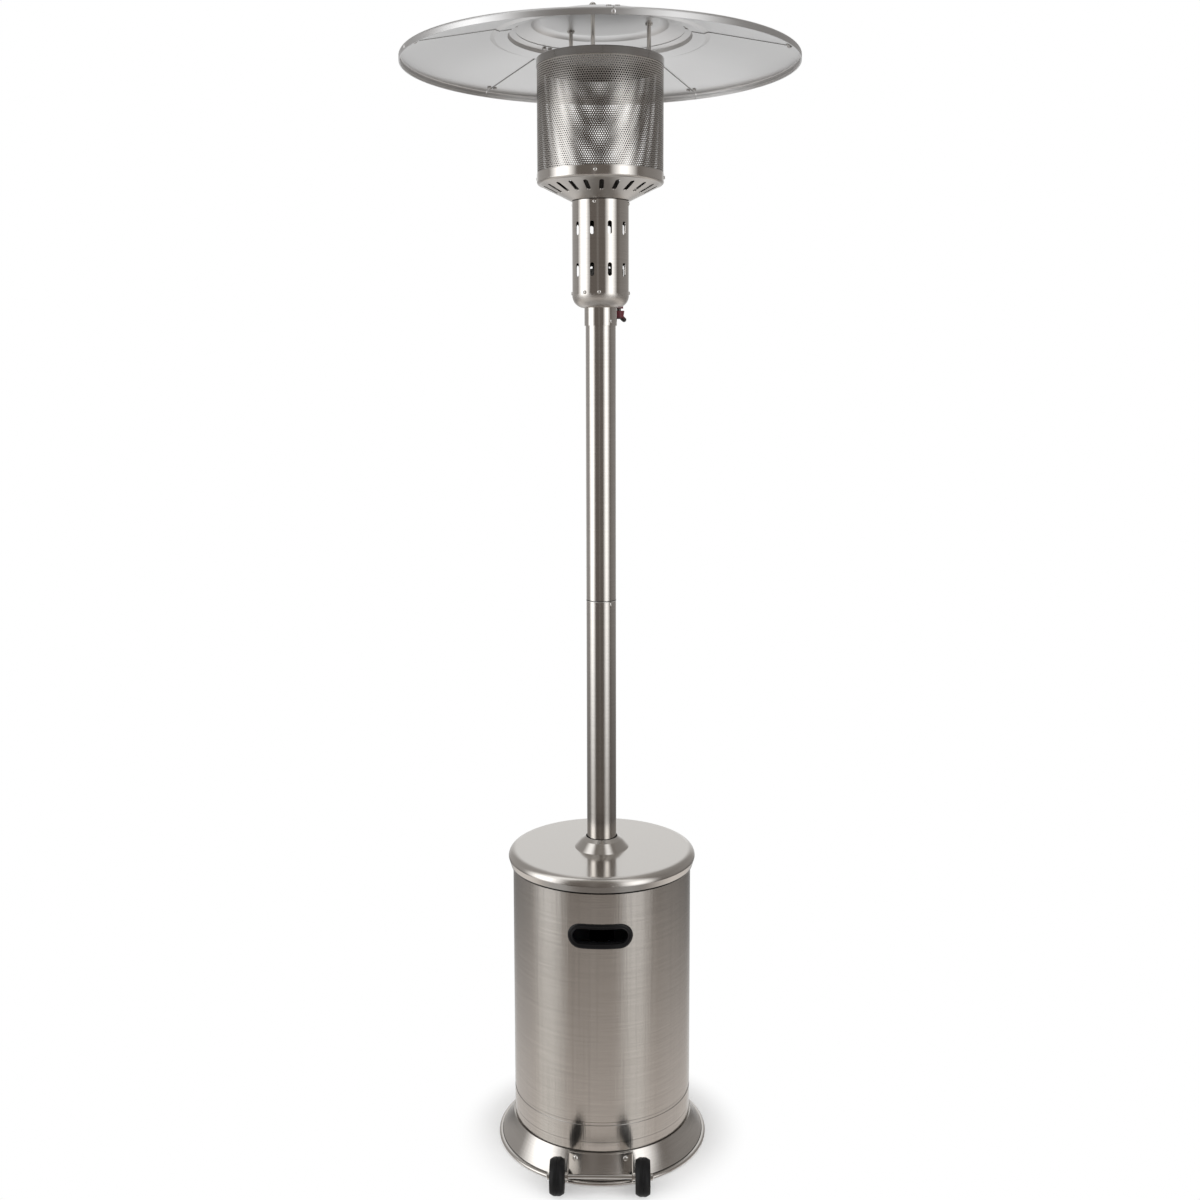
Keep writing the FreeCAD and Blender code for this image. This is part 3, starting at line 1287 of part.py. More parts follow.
PIECES = {
    "base_plate": base_plate(),
    "base_skirt": base_skirt(),
    "wheel_bracket": wheel_bracket(),
    "bracket_screws": bracket_screws(),
    "wheel_axle": wheel_axle(),
    "axle_cap_nuts": axle_cap_nuts(),
    "axle_spacers": axle_spacers(),
    "wheel_hub_left": wheel_hub(-1),
    "wheel_tyre_left": wheel_tyre(-1),
    "wheel_hub_right": wheel_hub(1),
    "wheel_tyre_right": wheel_tyre(1),
    "leg_bolts": leg_bolts(),
    "pole_socket": pole_socket(),
    "hose_grommet": hose_grommet(),
    "lower_pole": lower_pole(),
    "upper_pole": upper_pole(),
    "pole_coupler": pole_coupler(),
    "pole_screws": pole_screws(),
    "gas_bottle": gas_bottle(),
    "bottle_valve": bottle_valve(),
    "bottle_handwheel": bottle_handwheel(),
    "regulator": regulator(),
    "regulator_nut": regulator_nut(),
    "gas_hose": gas_hose(),
    "tank_housing": tank_housing(),
    "housing_lid": housing_lid(),
    "handle_bezel": handle_bezel(),
    "control_sleeve": control_sleeve(),
    "sleeve_screws": sleeve_screws(),
    "burner_dish": burner_dish(),
    "emitter_screen": emitter_screen(),
    "emitter_cap": emitter_cap(),
    "emitter_screws": emitter_screws(),
    "valve_bracket": valve_bracket(),
    "gas_valve": gas_valve(),
    "valve_spindle": valve_spindle(),
    "control_knob": control_knob(),
    "gas_jet": gas_jet(),
    "mixer_tube": mixer_tube(),
    "burner_head": burner_head(),
    "pilot_burner": probe(PILOT_ANGLE, PILOT_R, PILOT_UP),
    "thermocouple": probe(THERMOCOUPLE_ANGLE, PROBE_R, THERMOCOUPLE_UP),
    "ignition_electrode": probe(ELECTRODE_ANGLE, ELECTRODE_R, ELECTRODE_UP),
    "piezo_igniter": piezo_igniter(),
    "tilt_switch": tilt_switch(),
    "reflector_studs": reflector_studs(),
    "stud_nuts": stud_nuts(),
    "cap_nuts": cap_nuts(),
    "reflector_disc": reflector_disc(),
    "seam_plates": seam_plates(),
    "petal_bolts": petal_bolts(),
}
for number, leg_angle in enumerate(LEG_ANGLES, 1):
    PIECES["support_leg_%d" % number] = support_leg(leg_angle)
for number in range(PETALS):
    PIECES["reflector_petal_%d" % (number + 1)] = reflector_petal(number)

os.makedirs("parts", exist_ok=True)
for name, shape in PIECES.items():
    shape.exportStep("parts/%s.step" % name)
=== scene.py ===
import math

import bmesh
import bpy
import numpy as np
from mathutils import Matrix, Vector


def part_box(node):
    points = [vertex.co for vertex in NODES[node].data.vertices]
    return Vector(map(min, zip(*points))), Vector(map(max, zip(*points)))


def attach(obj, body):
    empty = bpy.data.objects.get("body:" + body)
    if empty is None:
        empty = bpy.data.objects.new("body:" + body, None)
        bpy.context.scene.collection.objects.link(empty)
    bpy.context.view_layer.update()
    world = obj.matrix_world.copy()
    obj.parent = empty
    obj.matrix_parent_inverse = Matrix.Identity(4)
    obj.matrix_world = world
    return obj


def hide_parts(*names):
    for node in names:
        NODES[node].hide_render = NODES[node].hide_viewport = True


# Gas patio heater, dressed round its solids. Metres, +Z up; the wheels and the camera are towards -Y.

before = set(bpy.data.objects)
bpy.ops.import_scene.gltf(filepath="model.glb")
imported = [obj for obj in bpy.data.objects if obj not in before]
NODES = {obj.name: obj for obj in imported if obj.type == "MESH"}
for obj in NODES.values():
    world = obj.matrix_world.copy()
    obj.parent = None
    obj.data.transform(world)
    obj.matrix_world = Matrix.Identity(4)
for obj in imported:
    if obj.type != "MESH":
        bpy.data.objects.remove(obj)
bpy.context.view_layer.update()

# Camera, as fitted to the photograph's 1200 pixel frame
IMAGE_PX = 1200
FOCAL_PX = 1371.1
PRINCIPAL_ROW = 523.0
AXIS_COLUMN = 601.1
SENSOR_MM = 36.0
CAMERA_REACH = 2.745
CAMERA_HEIGHT = 1.5827
CAMERA_BEARING = math.radians(1.1)
CAMERA_PITCH = math.radians(6.20)
CAMERA_ROLL = math.radians(-0.12)
CLIP_END = 60.0

# Studio
FLOOR_SIDE = 40.0
FLOOR_COLOR = (0.93, 0.93, 0.93)
FLOOR_CLEAR_R = 0.21
FLOOR_WHITE_R = 0.31
AMBIENT = 0.80

# What bright metal mirrors, by bearing from the camera's side and by height above the horizon, in degrees
BEARING_SPAN = (-180, 180)
HEIGHT_SPAN = (-90, 90)
SOFTBOX_RADIANCE = 2.2
SOFTBOX_BEARINGS = ((-104, 0), (-80, 1), (-63, 1), (-42, 0), (-15, 0), (-10, 0.05), (-5, 0), (18, 0),
                    (38, 0.84), (50, 0.84), (72, 0))
SOFTBOX_HEIGHTS = ((-90, 0.40), (-66, 0.16), (-48, 0.22), (-34, (0.42, 0.40, 0.375)),
                   (-26, (0.29, 0.278, 0.26)), (-20, (0.15, 0.144, 0.138)), (-15, 0.45), (-10, 1.0),
                   (22, 1.0), (40, 0.64), (60, 0.64))
BACKDROP_BEARINGS = ((-172, 1), (-148, 0.34), (-108, 0.28), (-96, 0), (70, 0), (90, 0.14), (148, 0.24),
                     (172, 1))
BACKDROP_HEIGHTS = ((-90, 0.8), (-30, 0.95), (-26, 0.80), (-21, 0.35), (-8, 0.95), (8, 0.95), (25, 0.84))
WALL_HEIGHTS = ((-90, (0.92, 0.90, 0.87)), (-78, (0.70, 0.68, 0.65)), (-68, (0.15, 0.135, 0.125)),
                (-52, (0.17, 0.155, 0.145)), (-40, (0.90, 0.84, 0.79)), (-30, (0.70, 0.64, 0.59)),
                (-25, (0.32, 0.283, 0.256)), (-20, (0.035, 0.029, 0.025)), (-10, (0.165, 0.145, 0.13)),
                (30, (0.18, 0.16, 0.145)), (58, (0.22, 0.20, 0.18)), (72, (0.42, 0.40, 0.38)))

# Lamps: name, bearing, reach from the pole, height, size, radiance and the height that each faces
LAMPS = (
    ("softbox_left", -69.0, 2.4, 1.45, (1.75, 2.6), 1.75, 1.3),
    ("softbox_right", 46.0, 2.4, 1.45, (1.60, 2.6), 1.75, 1.3),
    ("softbox_top", 0.0, 0.9, 3.6, (2.0, 2.0), 0.6, 1.0),
)

# Colours of the materials, and the noise that varies them as detail and roughness
WHITE = (1.0, 1.0, 1.0)
STEEL = (0.62, 0.595, 0.565)
ALUMINIUM = (0.80, 0.80, 0.80)
EMITTER_SHADE = 0.85
BURNER_SHADE = 0.25
# Painted shade for the inner faces of the housing and the emitter's drum.
INSIDE_PAINTED_SHADE = (0.02, 0.019, 0.018)
KNOB_RED = (0.085, 0.010, 0.017)
KNOB_TIP_BLACK = (0.012, 0.010, 0.010)
FINE_NOISE = (4.0, 0.7)
MOULDED_NOISE = (4.0, 0.65)
SOFT_NOISE = (3.0, 0.5)
WAVE_NOISE = (5.0, 0.72)
LINE_STRETCH = 10.0
STREAK_PLACE = (130.0, 1.5)
STREAK_SPAN = (0.5, 0.8)
STREAK_TINT = 0.35
STREAK_SHADE = 0.7
WAVE_PLACE = (45.0, 1.2)
ACROSS_THE_LINES = 0.25

# Edges, lines and bounds in the materials, in metres, with the shade of each dark edge. The dark edges are
# painted shadow: under the lid, at the skirt's foot and at the sleeve's top; the housing's upper two lines
# paint the shadows in its grooves, and one lower dark line is added.
HOUSING_LINES = ((0.1124, 0.1136, 0.4), (0.1060, 0.1070, 0.6), (0.0712, 0.0722, 0.6))
HOUSING_SKIN = 0.0009
LID_SHADOW_LINE = 0.0034
LID_SHADOW_SHADE = 0.03
LID_ROUND_R = 0.172
LID_BLEND = 0.010
LID_ROUGH = (0.15, 0.22)
SKIRT_SHADOW_LINE = 0.0014
SKIRT_SHADOW_SHADE = 0.12
NECK_L = 0.035
NECK_BLEND = 0.001
DOME_H = 0.022
DOME_BLEND = 0.006
SLEEVE_ROUGH = 0.10
DOME_ROUGH = 0.40
SLEEVE_SHADOW_LINE = 0.0016
SLEEVE_SHADOW_SHADE = 0.15
DISH_WALL = 0.017
DISH_BLEND = 0.003
DISH_ROUGH = (0.34, 0.13)
# The rim's wall from this radius out is tinted darker as painted shade.
RIM_WALL_R = 0.3862
RIM_WALL_PAINTED_SHADE = 0.80
KNOB_TIP = (0.011, 0.006)

# Perforated emitter
HOLE_R = 0.00168
HOLE_SIDES = 8
HOLES_ROUND = 162
HOLE_ROWS = 48
HOLE_BANDS = 4
HOLE_MARGIN = 0.002
SHEET = 0.0008

# Hand-hold: the slot's clear size, and its frame's section as steps out from the slot and up from the housing
SLOT_L = 0.108
SLOT_H = 0.030
SLOT_ARC_STEPS = 16
SLOT_RUN_STEPS = 10
BEZEL_SECTION = ((0, -12), (0, 1.2), (0.4, 1.9), (1.2, 2.2), (2.2, 2.0), (2.9, 1.7), (3.6, 2.1), (4.8, 2.8),
                 (6.4, 3.0), (8.0, 2.7), (9.3, 1.8), (9.9, 0.7), (10, 0.1), (2, 0.1), (2, -12))

# Tyre section from bead to mid-tread, as radius and distance from the tyre's middle, in millimetres
TYRE_SECTION = ((21.1, 13.4), (22.5, 14.0), (26.0, 14.5), (29.6, 14.4), (31.0, 13.4), (34.2, 7.6),
                (34.8, 6.3), (35.0, 4.8), (35.0, 0.9), (34.3, 0.0))
RING_STEPS = 72

# Pole joint: sections of its bright edge and of the black ring over it that paints the gap's shadow, out from
# the pole and up from the joint
JOINT_EDGE = ((0.02, -0.9), (0.32, -0.5), (0.32, 0.2), (0.02, 0.6))
JOINT_SHADOW = ((0.02, 0.6), (0.10, 0.6), (0.10, 1.9), (0.02, 1.9))

# Cross recesses in the screws
CROSS_REACH = 0.0019
CROSS_HALF = 0.00042
CROSS_DEPTH = 0.0011
WELD = 1e-6

# Reflector seams, whose dark strips paint the seams' shadow lines, the rim's screws and the gland round the
# control spindle
SEAM_ANGLE = 58.5
SEAMS = 5
PETALS = tuple("reflector_petal_%d" % (k + 1) for k in range(SEAMS))
SEAM_STRIP_T = 0.0008
SEAM_STRIP_GAP = 0.0001
SEAM_STRIP_STEPS = 24
SEAM_BESIDE = 0.002
SEAM_TOPS = (0.182, 0.348)
SEAM_TOP_HALF = 0.004
SEAM_LIPS = (0.180, 0.374)
SEAM_LIP_HALF = 0.0009
RIM_SCREW_R = 0.0038
RIM_SCREW_H = 0.0011
RIM_SCREW_UP = 0.0048
RIM_SCREW_RINGS = ((1.0, -0.45), (1.0, 0.15), (0.88, 0.5), (0.64, 0.8), (0.32, 0.96))
RIM_SCREW_STEPS = 24
OUTSIDE = 0.5
GLAND_R = 0.0085
GLAND_BORE = 0.0052
GLAND_STEPS = 32
GLAND_CLEAR = 0.0045

# A millimetre, a height over everything, and the angle from which an edge stays sharp
MM = 0.001
SKY = 3.0
SMOOTH_ANGLE = math.radians(35)


def turns(count):
    """Angles of count even steps round a circle."""
    return [2 * math.pi * step / count for step in range(count)]


def link(obj):
    bpy.context.scene.collection.objects.link(obj)
    return obj


def add_mesh(name, vertices, faces):
    """New mesh piece, faced outwards and smooth except at real edges."""
    mesh = bpy.data.meshes.new(name)
    mesh.from_pydata(vertices, [], faces)
    work = bmesh.new()
    work.from_mesh(mesh)
    bmesh.ops.recalc_face_normals(work, faces=work.faces)
    work.to_mesh(mesh)
    work.free()
    smooth(mesh)
    return link(bpy.data.objects.new(name, mesh))


def smooth(mesh):
    mesh.polygons.foreach_set("use_smooth", [True] * len(mesh.polygons))
    mesh.set_sharp_from_angle(angle=SMOOTH_ANGLE)


def paint(obj, material):
    obj.data.materials.clear()
    obj.data.materials.append(material)


def settle(piece, body, slot, material, *replaced):
    """Finish of a new piece: its material, the body that it rides on and the nodes that it stands for."""
    paint(piece, MATERIALS[material])
    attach(piece, body)
    if replaced:
        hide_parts(*replaced)


# Materials


class Nodes:
    """Short ways to add nodes to a tree."""

    def __init__(self, tree):
        self.tree = tree

    def feed(self, socket, value):
        """Wires a socket, or sets it to a plain number or colour."""
        if isinstance(value, bpy.types.NodeSocket):
            self.tree.links.new(value, socket)
        elif socket.type == "RGBA":
            socket.default_value = (*value, 1.0)
        else:
            socket.default_value = value

    def node(self, kind, *values, **settings):
        node = self.tree.nodes.new("ShaderNode" + kind)
        for key, value in settings.items():
            setattr(node, key, value)
        for socket, value in zip(node.inputs, values):
            self.feed(socket, value)
        return node

    def math(self, operation, *values):
        return self.node("Math", *values, operation=operation).outputs["Value"]

    def mix(self, share, first, second):
        return self.node("MixRGB", share, first, second).outputs["Color"]

    def reach(self, value, low, high, to_low=0.0, to_high=1.0):
        """Value between low and high, mapped to another span."""
        return self.node("MapRange", value, low, high, to_low, to_high).outputs["Result"]

    def stops(self, value, low, high, table):
        """Colour ramp over a value from low to high; the table holds places and greys or colours."""
        node = self.node("ValToRGB", self.reach(value, low, high))
        elements = node.color_ramp.elements
        while len(elements) < len(table):
            elements.new(0.5)
        for element, (place, color) in zip(elements, table):
            element.position = (place - low) / (high - low)
            element.color = (*color, 1.0) if isinstance(color, tuple) else (color, color, color, 1.0)
        return node.outputs["Color"]


class Shader(Nodes):
    """A material under construction round its Principled shader."""

    def __init__(self, name, color, metallic, roughness):
        self.material = bpy.data.materials.new(name)
        self.material.use_nodes = True
        super().__init__(self.material.node_tree)
        self.surface = self.tree.nodes["Principled BSDF"]
        self.color = color
        self.normal = None
        self.set("Base Color", color)
        self.set("Metallic", metallic)
        self.set("Roughness", roughness)

    def set(self, socket, value):
        self.feed(self.surface.inputs[socket], value)

    def place(self, across=1.0, up=1.0):
        """Place on the object, stretched across and up."""
        here = self.node("TexCoord").outputs["Object"]
        return self.node("VectorMath", here, (across, across, up), operation="MULTIPLY").outputs["Vector"]

    def height(self):
        return self.node("SeparateXYZ", self.place()).outputs["Z"]

    def radius(self):
        flat = self.place(1.0, 0.0)
        return self.node("VectorMath", flat, operation="LENGTH").outputs["Value"]

    def between(self, value, low, high):
        """1 where the value lies between low and high, else 0."""
        above = self.math("GREATER_THAN", value, low)
        return self.math("MULTIPLY", above, self.math("LESS_THAN", value, high))

    def noise(self, vector, scale, detail, rough):
        node = self.node("TexNoise")
        self.feed(node.inputs["Vector"], vector)
        self.feed(node.inputs["Scale"], scale)
        self.feed(node.inputs["Detail"], detail)
        self.feed(node.inputs["Roughness"], rough)
        return node.outputs["Fac"]

    def tint(self, value, color):
        """Colours the base towards another colour with value."""
        self.color = self.mix(value, self.color, color)
        self.set("Base Color", self.color)

    def vary(self, value, color, spread):
        """Base colour that runs a little darker and lighter with value."""
        self.color = self.mix(value, shade(color, 1 - spread), shade(color, 1 + spread))
        self.set("Base Color", self.color)

    def roughen(self, value, low, high):
        self.set("Roughness", self.reach(value, 0.0, 1.0, low, high))

    def cloud(self, scale, rough, spread):
        """Roughness that drifts slowly over the surface; returns the drift."""
        drift = self.noise(self.place(), scale, *SOFT_NOISE)
        self.roughen(drift, rough * (1 - spread), rough * (1 + spread))
        return drift

    def bump(self, value, height):
        node = self.node("Bump")
        self.feed(node.inputs["Distance"], height)
        self.feed(node.inputs["Strength"], 1.0)
        self.feed(node.inputs["Height"], value)
        if self.normal:
            self.feed(node.inputs["Normal"], self.normal)
        self.normal = node.outputs["Normal"]
        self.set("Normal", self.normal)

    def brushed_round(self, anisotropy):
        """Highlights stretched along the pole, as on metal brushed round its axis."""
        self.set("Tangent", self.node("Tangent", direction_type="RADIAL", axis="Z").outputs["Tangent"])
        self.set("Anisotropic", anisotropy)
        self.set("Anisotropic Rotation", ACROSS_THE_LINES)


def shade(color, share):
    return tuple(channel * share for channel in color)


def brushed_steel(name, color, rough, anisotropy, lines, depth, wave=0.0):
    """Stainless sheet with fine lines round the axis, lines to a metre of height, and slow upright waves."""
    shader = Shader(name, color, 1.0, rough)
    streaks = shader.noise(shader.place(LINE_STRETCH, lines), 1.0, *FINE_NOISE)
    shader.vary(streaks, color, spread=0.16)
    shader.cloud(scale=7.0, rough=rough, spread=0.12)
    shader.bump(streaks, depth)
    if wave:
        upright = shader.noise(shader.place(*STREAK_PLACE), 1.0, *FINE_NOISE)
        shader.tint(shader.reach(upright, *STREAK_SPAN, 0.0, STREAK_TINT), shade(color, STREAK_SHADE))
        shader.bump(shader.noise(shader.place(*WAVE_PLACE), 1.0, *WAVE_NOISE), wave)
    shader.brushed_round(anisotropy)
    return shader


def satin_metal(name, color, rough, grain, depth):
    """Even satin metal with a fine grain."""
    shader = Shader(name, color, 1.0, rough)
    specks = shader.noise(shader.place(), grain, *FINE_NOISE)
    shader.vary(specks, color, spread=0.05)
    shader.cloud(scale=9.0, rough=rough, spread=0.15)
    shader.bump(specks, depth)
    return shader


def coated(name, color, rough, grain, depth, gloss=0.5):
    """Plastic, rubber or paint with a fine moulded or sprayed texture."""
    shader = Shader(name, color, 0.0, rough)
    specks = shader.noise(shader.place(), grain, *MOULDED_NOISE)
    shader.vary(shader.cloud(scale=14.0, rough=rough, spread=0.15), color, spread=0.15)
    shader.bump(specks, depth)
    shader.set("Specular IOR Level", gloss)
    return shader


def housing_steel():
    """The housing's sheet: painted shade on its inner face, and dark lines near its foot, the upper two of
    them painted shadows in its grooves.
    """
    shader = brushed_steel("housing_steel", STEEL, 0.22, anisotropy=0.7, lines=320.0, depth=0.000008,
                           wave=0.0006)
    wall_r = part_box("tank_housing")[1].x
    # Dark lines: the upper two are painted shadow in the grooves, the third a lower dark line.
    for low, high, share in HOUSING_LINES:
        shader.tint(shader.between(shader.height(), low, high), shade(STEEL, share))
    # Painted shade on the housing's inner face.
    shader.tint(shader.math("LESS_THAN", shader.radius(), wall_r - HOUSING_SKIN), INSIDE_PAINTED_SHADE)
    return shader


def lid_steel():
    """The lid's sheet, with a painted shadow line along its lower edge."""
    shader = satin_metal("lid_steel", STEEL, LID_ROUGH[0], grain=1400.0, depth=0.000006)
    edge_r = LID_ROUND_R + LID_BLEND
    shader.set("Roughness", shader.reach(shader.radius(), LID_ROUND_R, edge_r, *LID_ROUGH))
    foot_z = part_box("housing_lid")[0].z
    # Painted shadow line along the lid's lower edge.
    edge = shader.math("LESS_THAN", shader.height(), foot_z + LID_SHADOW_LINE)
    shader.tint(edge, shade(STEEL, LID_SHADOW_SHADE))
    return shader


def skirt_steel():
    """The skirt's sheet, with a painted shadow line at its foot on the base plate."""
    shader = brushed_steel("skirt_steel", STEEL, 0.24, anisotropy=0.5, lines=700.0, depth=0.00001)
    foot_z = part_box("base_skirt")[0].z
    # Painted shadow line at the skirt's foot.
    edge = shader.math("LESS_THAN", shader.height(), foot_z + SKIRT_SHADOW_LINE)
    shader.tint(edge, shade(STEEL, SKIRT_SHADOW_SHADE))
    return shader


def sleeve_steel():
    """The sleeve's polished sheet: satin on its dome, a painted shadow line at its upper edge."""
    shader = brushed_steel("sleeve_steel", STEEL, SLEEVE_ROUGH, anisotropy=0.35, lines=600.0, depth=0.000004)
    low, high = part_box("control_sleeve")
    neck_z = low.z + NECK_L
    dome_z = neck_z + DOME_H
    table = ((neck_z - NECK_BLEND, SLEEVE_ROUGH), (neck_z, DOME_ROUGH), (dome_z, DOME_ROUGH),
             (dome_z + DOME_BLEND, SLEEVE_ROUGH))
    shader.set("Roughness", shader.stops(shader.height(), low.z, high.z, table))
    # Painted shadow line at the sleeve's upper edge.
    edge = shader.math("GREATER_THAN", shader.height(), high.z - SLEEVE_SHADOW_LINE)
    shader.tint(edge, shade(STEEL, SLEEVE_SHADOW_SHADE))
    return shader


def dish_steel():
    """The burner dish's sheet: satin on its cone, brighter on its wall."""
    shader = satin_metal("dish_steel", STEEL, DISH_ROUGH[0], grain=1200.0, depth=0.000006)
    wall_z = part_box("burner_dish")[1].z - DISH_WALL
    shader.set("Roughness", shader.reach(shader.height(), wall_z, wall_z + DISH_BLEND, *DISH_ROUGH))
    return shader


def reflector_sheet():
    """Satin aluminium, with painted shade darkening the wall of its rim."""
    shader = satin_metal("reflector_aluminium", ALUMINIUM, 0.40, grain=1200.0, depth=0.00002)
    # Painted shade on the rim's wall.
    wall = shader.math("GREATER_THAN", shader.radius(), RIM_WALL_R)
    shader.tint(wall, shade(ALUMINIUM, RIM_WALL_PAINTED_SHADE))
    return shader


def emitter_steel():
    """The emitter's heat-dulled mesh, with painted shade on its inner face."""
    shader = satin_metal("emitter_steel", shade(STEEL, EMITTER_SHADE), 0.26, grain=1500.0, depth=0.00001)
    drum_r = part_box("emitter_screen")[1].x
    # Painted shade on the drum's inner face.
    shader.tint(shader.math("LESS_THAN", shader.radius(), drum_r - SHEET / 2), INSIDE_PAINTED_SHADE)
    return shader


def knob_plastic():
    """Dark red plastic with a black tip."""
    shader = coated("red_plastic", KNOB_RED, 0.40, grain=900.0, depth=0.00006)
    tip_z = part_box("control_knob")[0].z
    shader.tint(shader.reach(shader.height(), *(tip_z + up for up in KNOB_TIP)), KNOB_TIP_BLACK)
    return shader


# Name, colour, roughness, then what each kind of material asks for
SHADERS = {
    "housing": housing_steel(),
    "skirt": skirt_steel(),
    "tube": brushed_steel("tube_steel", STEEL, 0.18, anisotropy=0.5, lines=500.0, depth=0.00001),
    "sleeve": sleeve_steel(),
    "lid": lid_steel(),
    "plate": satin_metal("plate_steel", STEEL, 0.22, grain=1400.0, depth=0.00001),
    # The emitter cap's steel is a darker copy of the steel, as painted shade.
    "cap": brushed_steel("cap_painted_shade_steel", (0.30, 0.295, 0.29), 0.16, anisotropy=0.4, lines=500.0, depth=0.00001),
    "dish": dish_steel(),
    "emitter": emitter_steel(),
    "inside": satin_metal("burner_steel", shade(STEEL, BURNER_SHADE), 0.45, grain=900.0, depth=0.00002),
    "reflector": reflector_sheet(),
    "rivet": satin_metal("rivet_aluminium", (0.88, 0.88, 0.88), 0.34, grain=2200.0, depth=0.000006),
    "bolt": satin_metal("bolt_steel", (0.55, 0.54, 0.53), 0.42, grain=2200.0, depth=0.000006),
    # Dark steel for the lap strips under the seams: real strips, darkened as painted shade along the seams.
    "lip": satin_metal("lip_painted_shade", (0.24, 0.235, 0.23), 0.20, grain=2200.0, depth=0.000006),
    "hardware": satin_metal("bright_hardware", (0.70, 0.69, 0.67), 0.16, grain=2200.0, depth=0.000006),
    "frame": coated("frame_zinc", (0.45, 0.45, 0.44), 0.45, grain=900.0, depth=0.00002),
    "bottle": coated("bottle_paint", (0.30, 0.33, 0.35), 0.36, grain=700.0, depth=0.00004),
    "brass": satin_metal("gas_brass", (0.30, 0.22, 0.10), 0.60, grain=1500.0, depth=0.00001),
    "alloy": satin_metal("regulator_alloy", (0.20, 0.20, 0.205), 0.60, grain=1200.0, depth=0.00003),
    "rubber": coated("black_rubber", (0.006, 0.006, 0.0065), 0.50, grain=900.0, depth=0.00004, gloss=0.22),
    "plastic": coated("black_plastic", (0.004, 0.004, 0.0045), 0.26, grain=1300.0, depth=0.00001,
                      gloss=0.24),
    # Near-black strip: painted shadow in the petals' seams and in the pole joint's gap.
    "seam": coated("seam_strip", (0.015, 0.015, 0.015), 0.6, grain=900.0, depth=0.00002, gloss=0.1),
    "knob": knob_plastic(),
}
MATERIALS = {key: shader.material for key, shader in SHADERS.items()}
NODE_MATERIALS = {
    "housing": ("tank_housing",),
    "skirt": ("base_skirt",),
    "tube": ("lower_pole", "upper_pole"),
    "sleeve": ("control_sleeve",),
    "lid": ("housing_lid",),
    "plate": ("base_plate", "wheel_bracket"),
    "cap": ("emitter_cap",),
    "dish": ("burner_dish",),
    "emitter": ("emitter_screen",),
    "inside": ("burner_head", "mixer_tube", "pilot_burner", "thermocouple", "ignition_electrode", "gas_valve",
               "gas_jet", "valve_bracket", "valve_spindle"),
    "reflector": ("reflector_disc", "seam_plates", *PETALS),
    "hardware": ("bracket_screws", "wheel_axle", "axle_cap_nuts", "axle_spacers", "leg_bolts", "pole_screws",
                 "sleeve_screws", "emitter_screws", "reflector_studs", "stud_nuts", "cap_nuts",
                 "pole_coupler"),
    "bolt": ("petal_bolts",),
    "frame": ("support_leg_1", "support_leg_2", "support_leg_3", "pole_socket"),
    "bottle": ("gas_bottle",),
    "brass": ("bottle_valve", "regulator_nut"),
    "alloy": ("regulator",),
    "rubber": ("wheel_tyre_left", "wheel_tyre_right", "gas_hose", "hose_grommet"),
    "plastic": ("wheel_hub_left", "wheel_hub_right", "handle_bezel", "piezo_igniter", "tilt_switch",
                "bottle_handwheel"),
    "knob": ("control_knob",),
}


def paint_nodes():
    for key, names in NODE_MATERIALS.items():
        for name in names:
            paint(NODES[name], MATERIALS[key])


# Emitter


def perforated_band(name, radius, low, high, first_row, rows, row_h, hole_low):
    """Ring of sheet with staggered round holes; plain margins fill it down to low and up to high."""
    inner = radius - SHEET
    half = math.pi / HOLES_ROUND
    vertices = []
    faces = []
    index = {}

    def vertex(key, angle, z):
        """Outer and inner vertex of a place on the sheet; the inner one follows the outer."""
        if key not in index:
            index[key] = len(vertices)
            vertices.append((radius * math.cos(angle), radius * math.sin(angle), z))
            vertices.append((inner * math.cos(angle), inner * math.sin(angle), z))
        return index[key]

    def panel(corners):
        faces.append(tuple(corners))
        faces.append(tuple(c + 1 for c in reversed(corners)))

    def lattice(step, level, z):
        step %= 2 * HOLES_ROUND
        return vertex(("lattice", step, level), step * half, z)

    for row in range(rows):
        shift = (first_row + row) % 2
        z_low = hole_low + row * row_h
        z_mid = z_low + row_h / 2
        z_high = z_low + row_h
        for hole in range(HOLES_ROUND):
            middle = 2 * hole + 1 + shift
            left = (middle - 1) % (2 * HOLES_ROUND)
            right = (middle + 1) % (2 * HOLES_ROUND)
            west = vertex(("side", left, row), left * half, z_mid)
            east = vertex(("side", right, row), right * half, z_mid)
            border = [
                east, lattice(right, row + 1, z_high), lattice(middle, row + 1, z_high),
                lattice(left, row + 1, z_high), west, lattice(left, row, z_low),
                lattice(middle, row, z_low), lattice(right, row, z_low),
            ]
            rim = []
            for side, turn in enumerate(turns(HOLE_SIDES)):
                angle = middle * half + HOLE_R * math.cos(turn) / radius
                rim.append(vertex((hole, row, side), angle, z_mid + HOLE_R * math.sin(turn)))
            for side in range(HOLE_SIDES):
                after = (side + 1) % HOLE_SIDES
                panel([rim[side], border[side], border[after], rim[after]])
                faces.append((rim[side], rim[after], rim[after] + 1, rim[side] + 1))
    hole_high = hole_low + rows * row_h
    for step in range(2 * HOLES_ROUND):
        after = step + 1
        bottom = [lattice(step, "low", low), lattice(after, "low", low)]
        top = [lattice(step, "high", high), lattice(after, "high", high)]
        if hole_low > low:
            panel([bottom[0], bottom[1], lattice(after, 0, hole_low), lattice(step, 0, hole_low)])
        else:
            bottom = [lattice(step, 0, low), lattice(after, 0, low)]
        if hole_high < high:
            panel([lattice(step, rows, hole_high), lattice(after, rows, hole_high), top[1], top[0]])
        else:
            top = [lattice(step, rows, high), lattice(after, rows, high)]
        faces.append((bottom[1], bottom[0], bottom[0] + 1, bottom[1] + 1))
        faces.append((top[0], top[1], top[1] + 1, top[0] + 1))
    return add_mesh(name, vertices, faces)


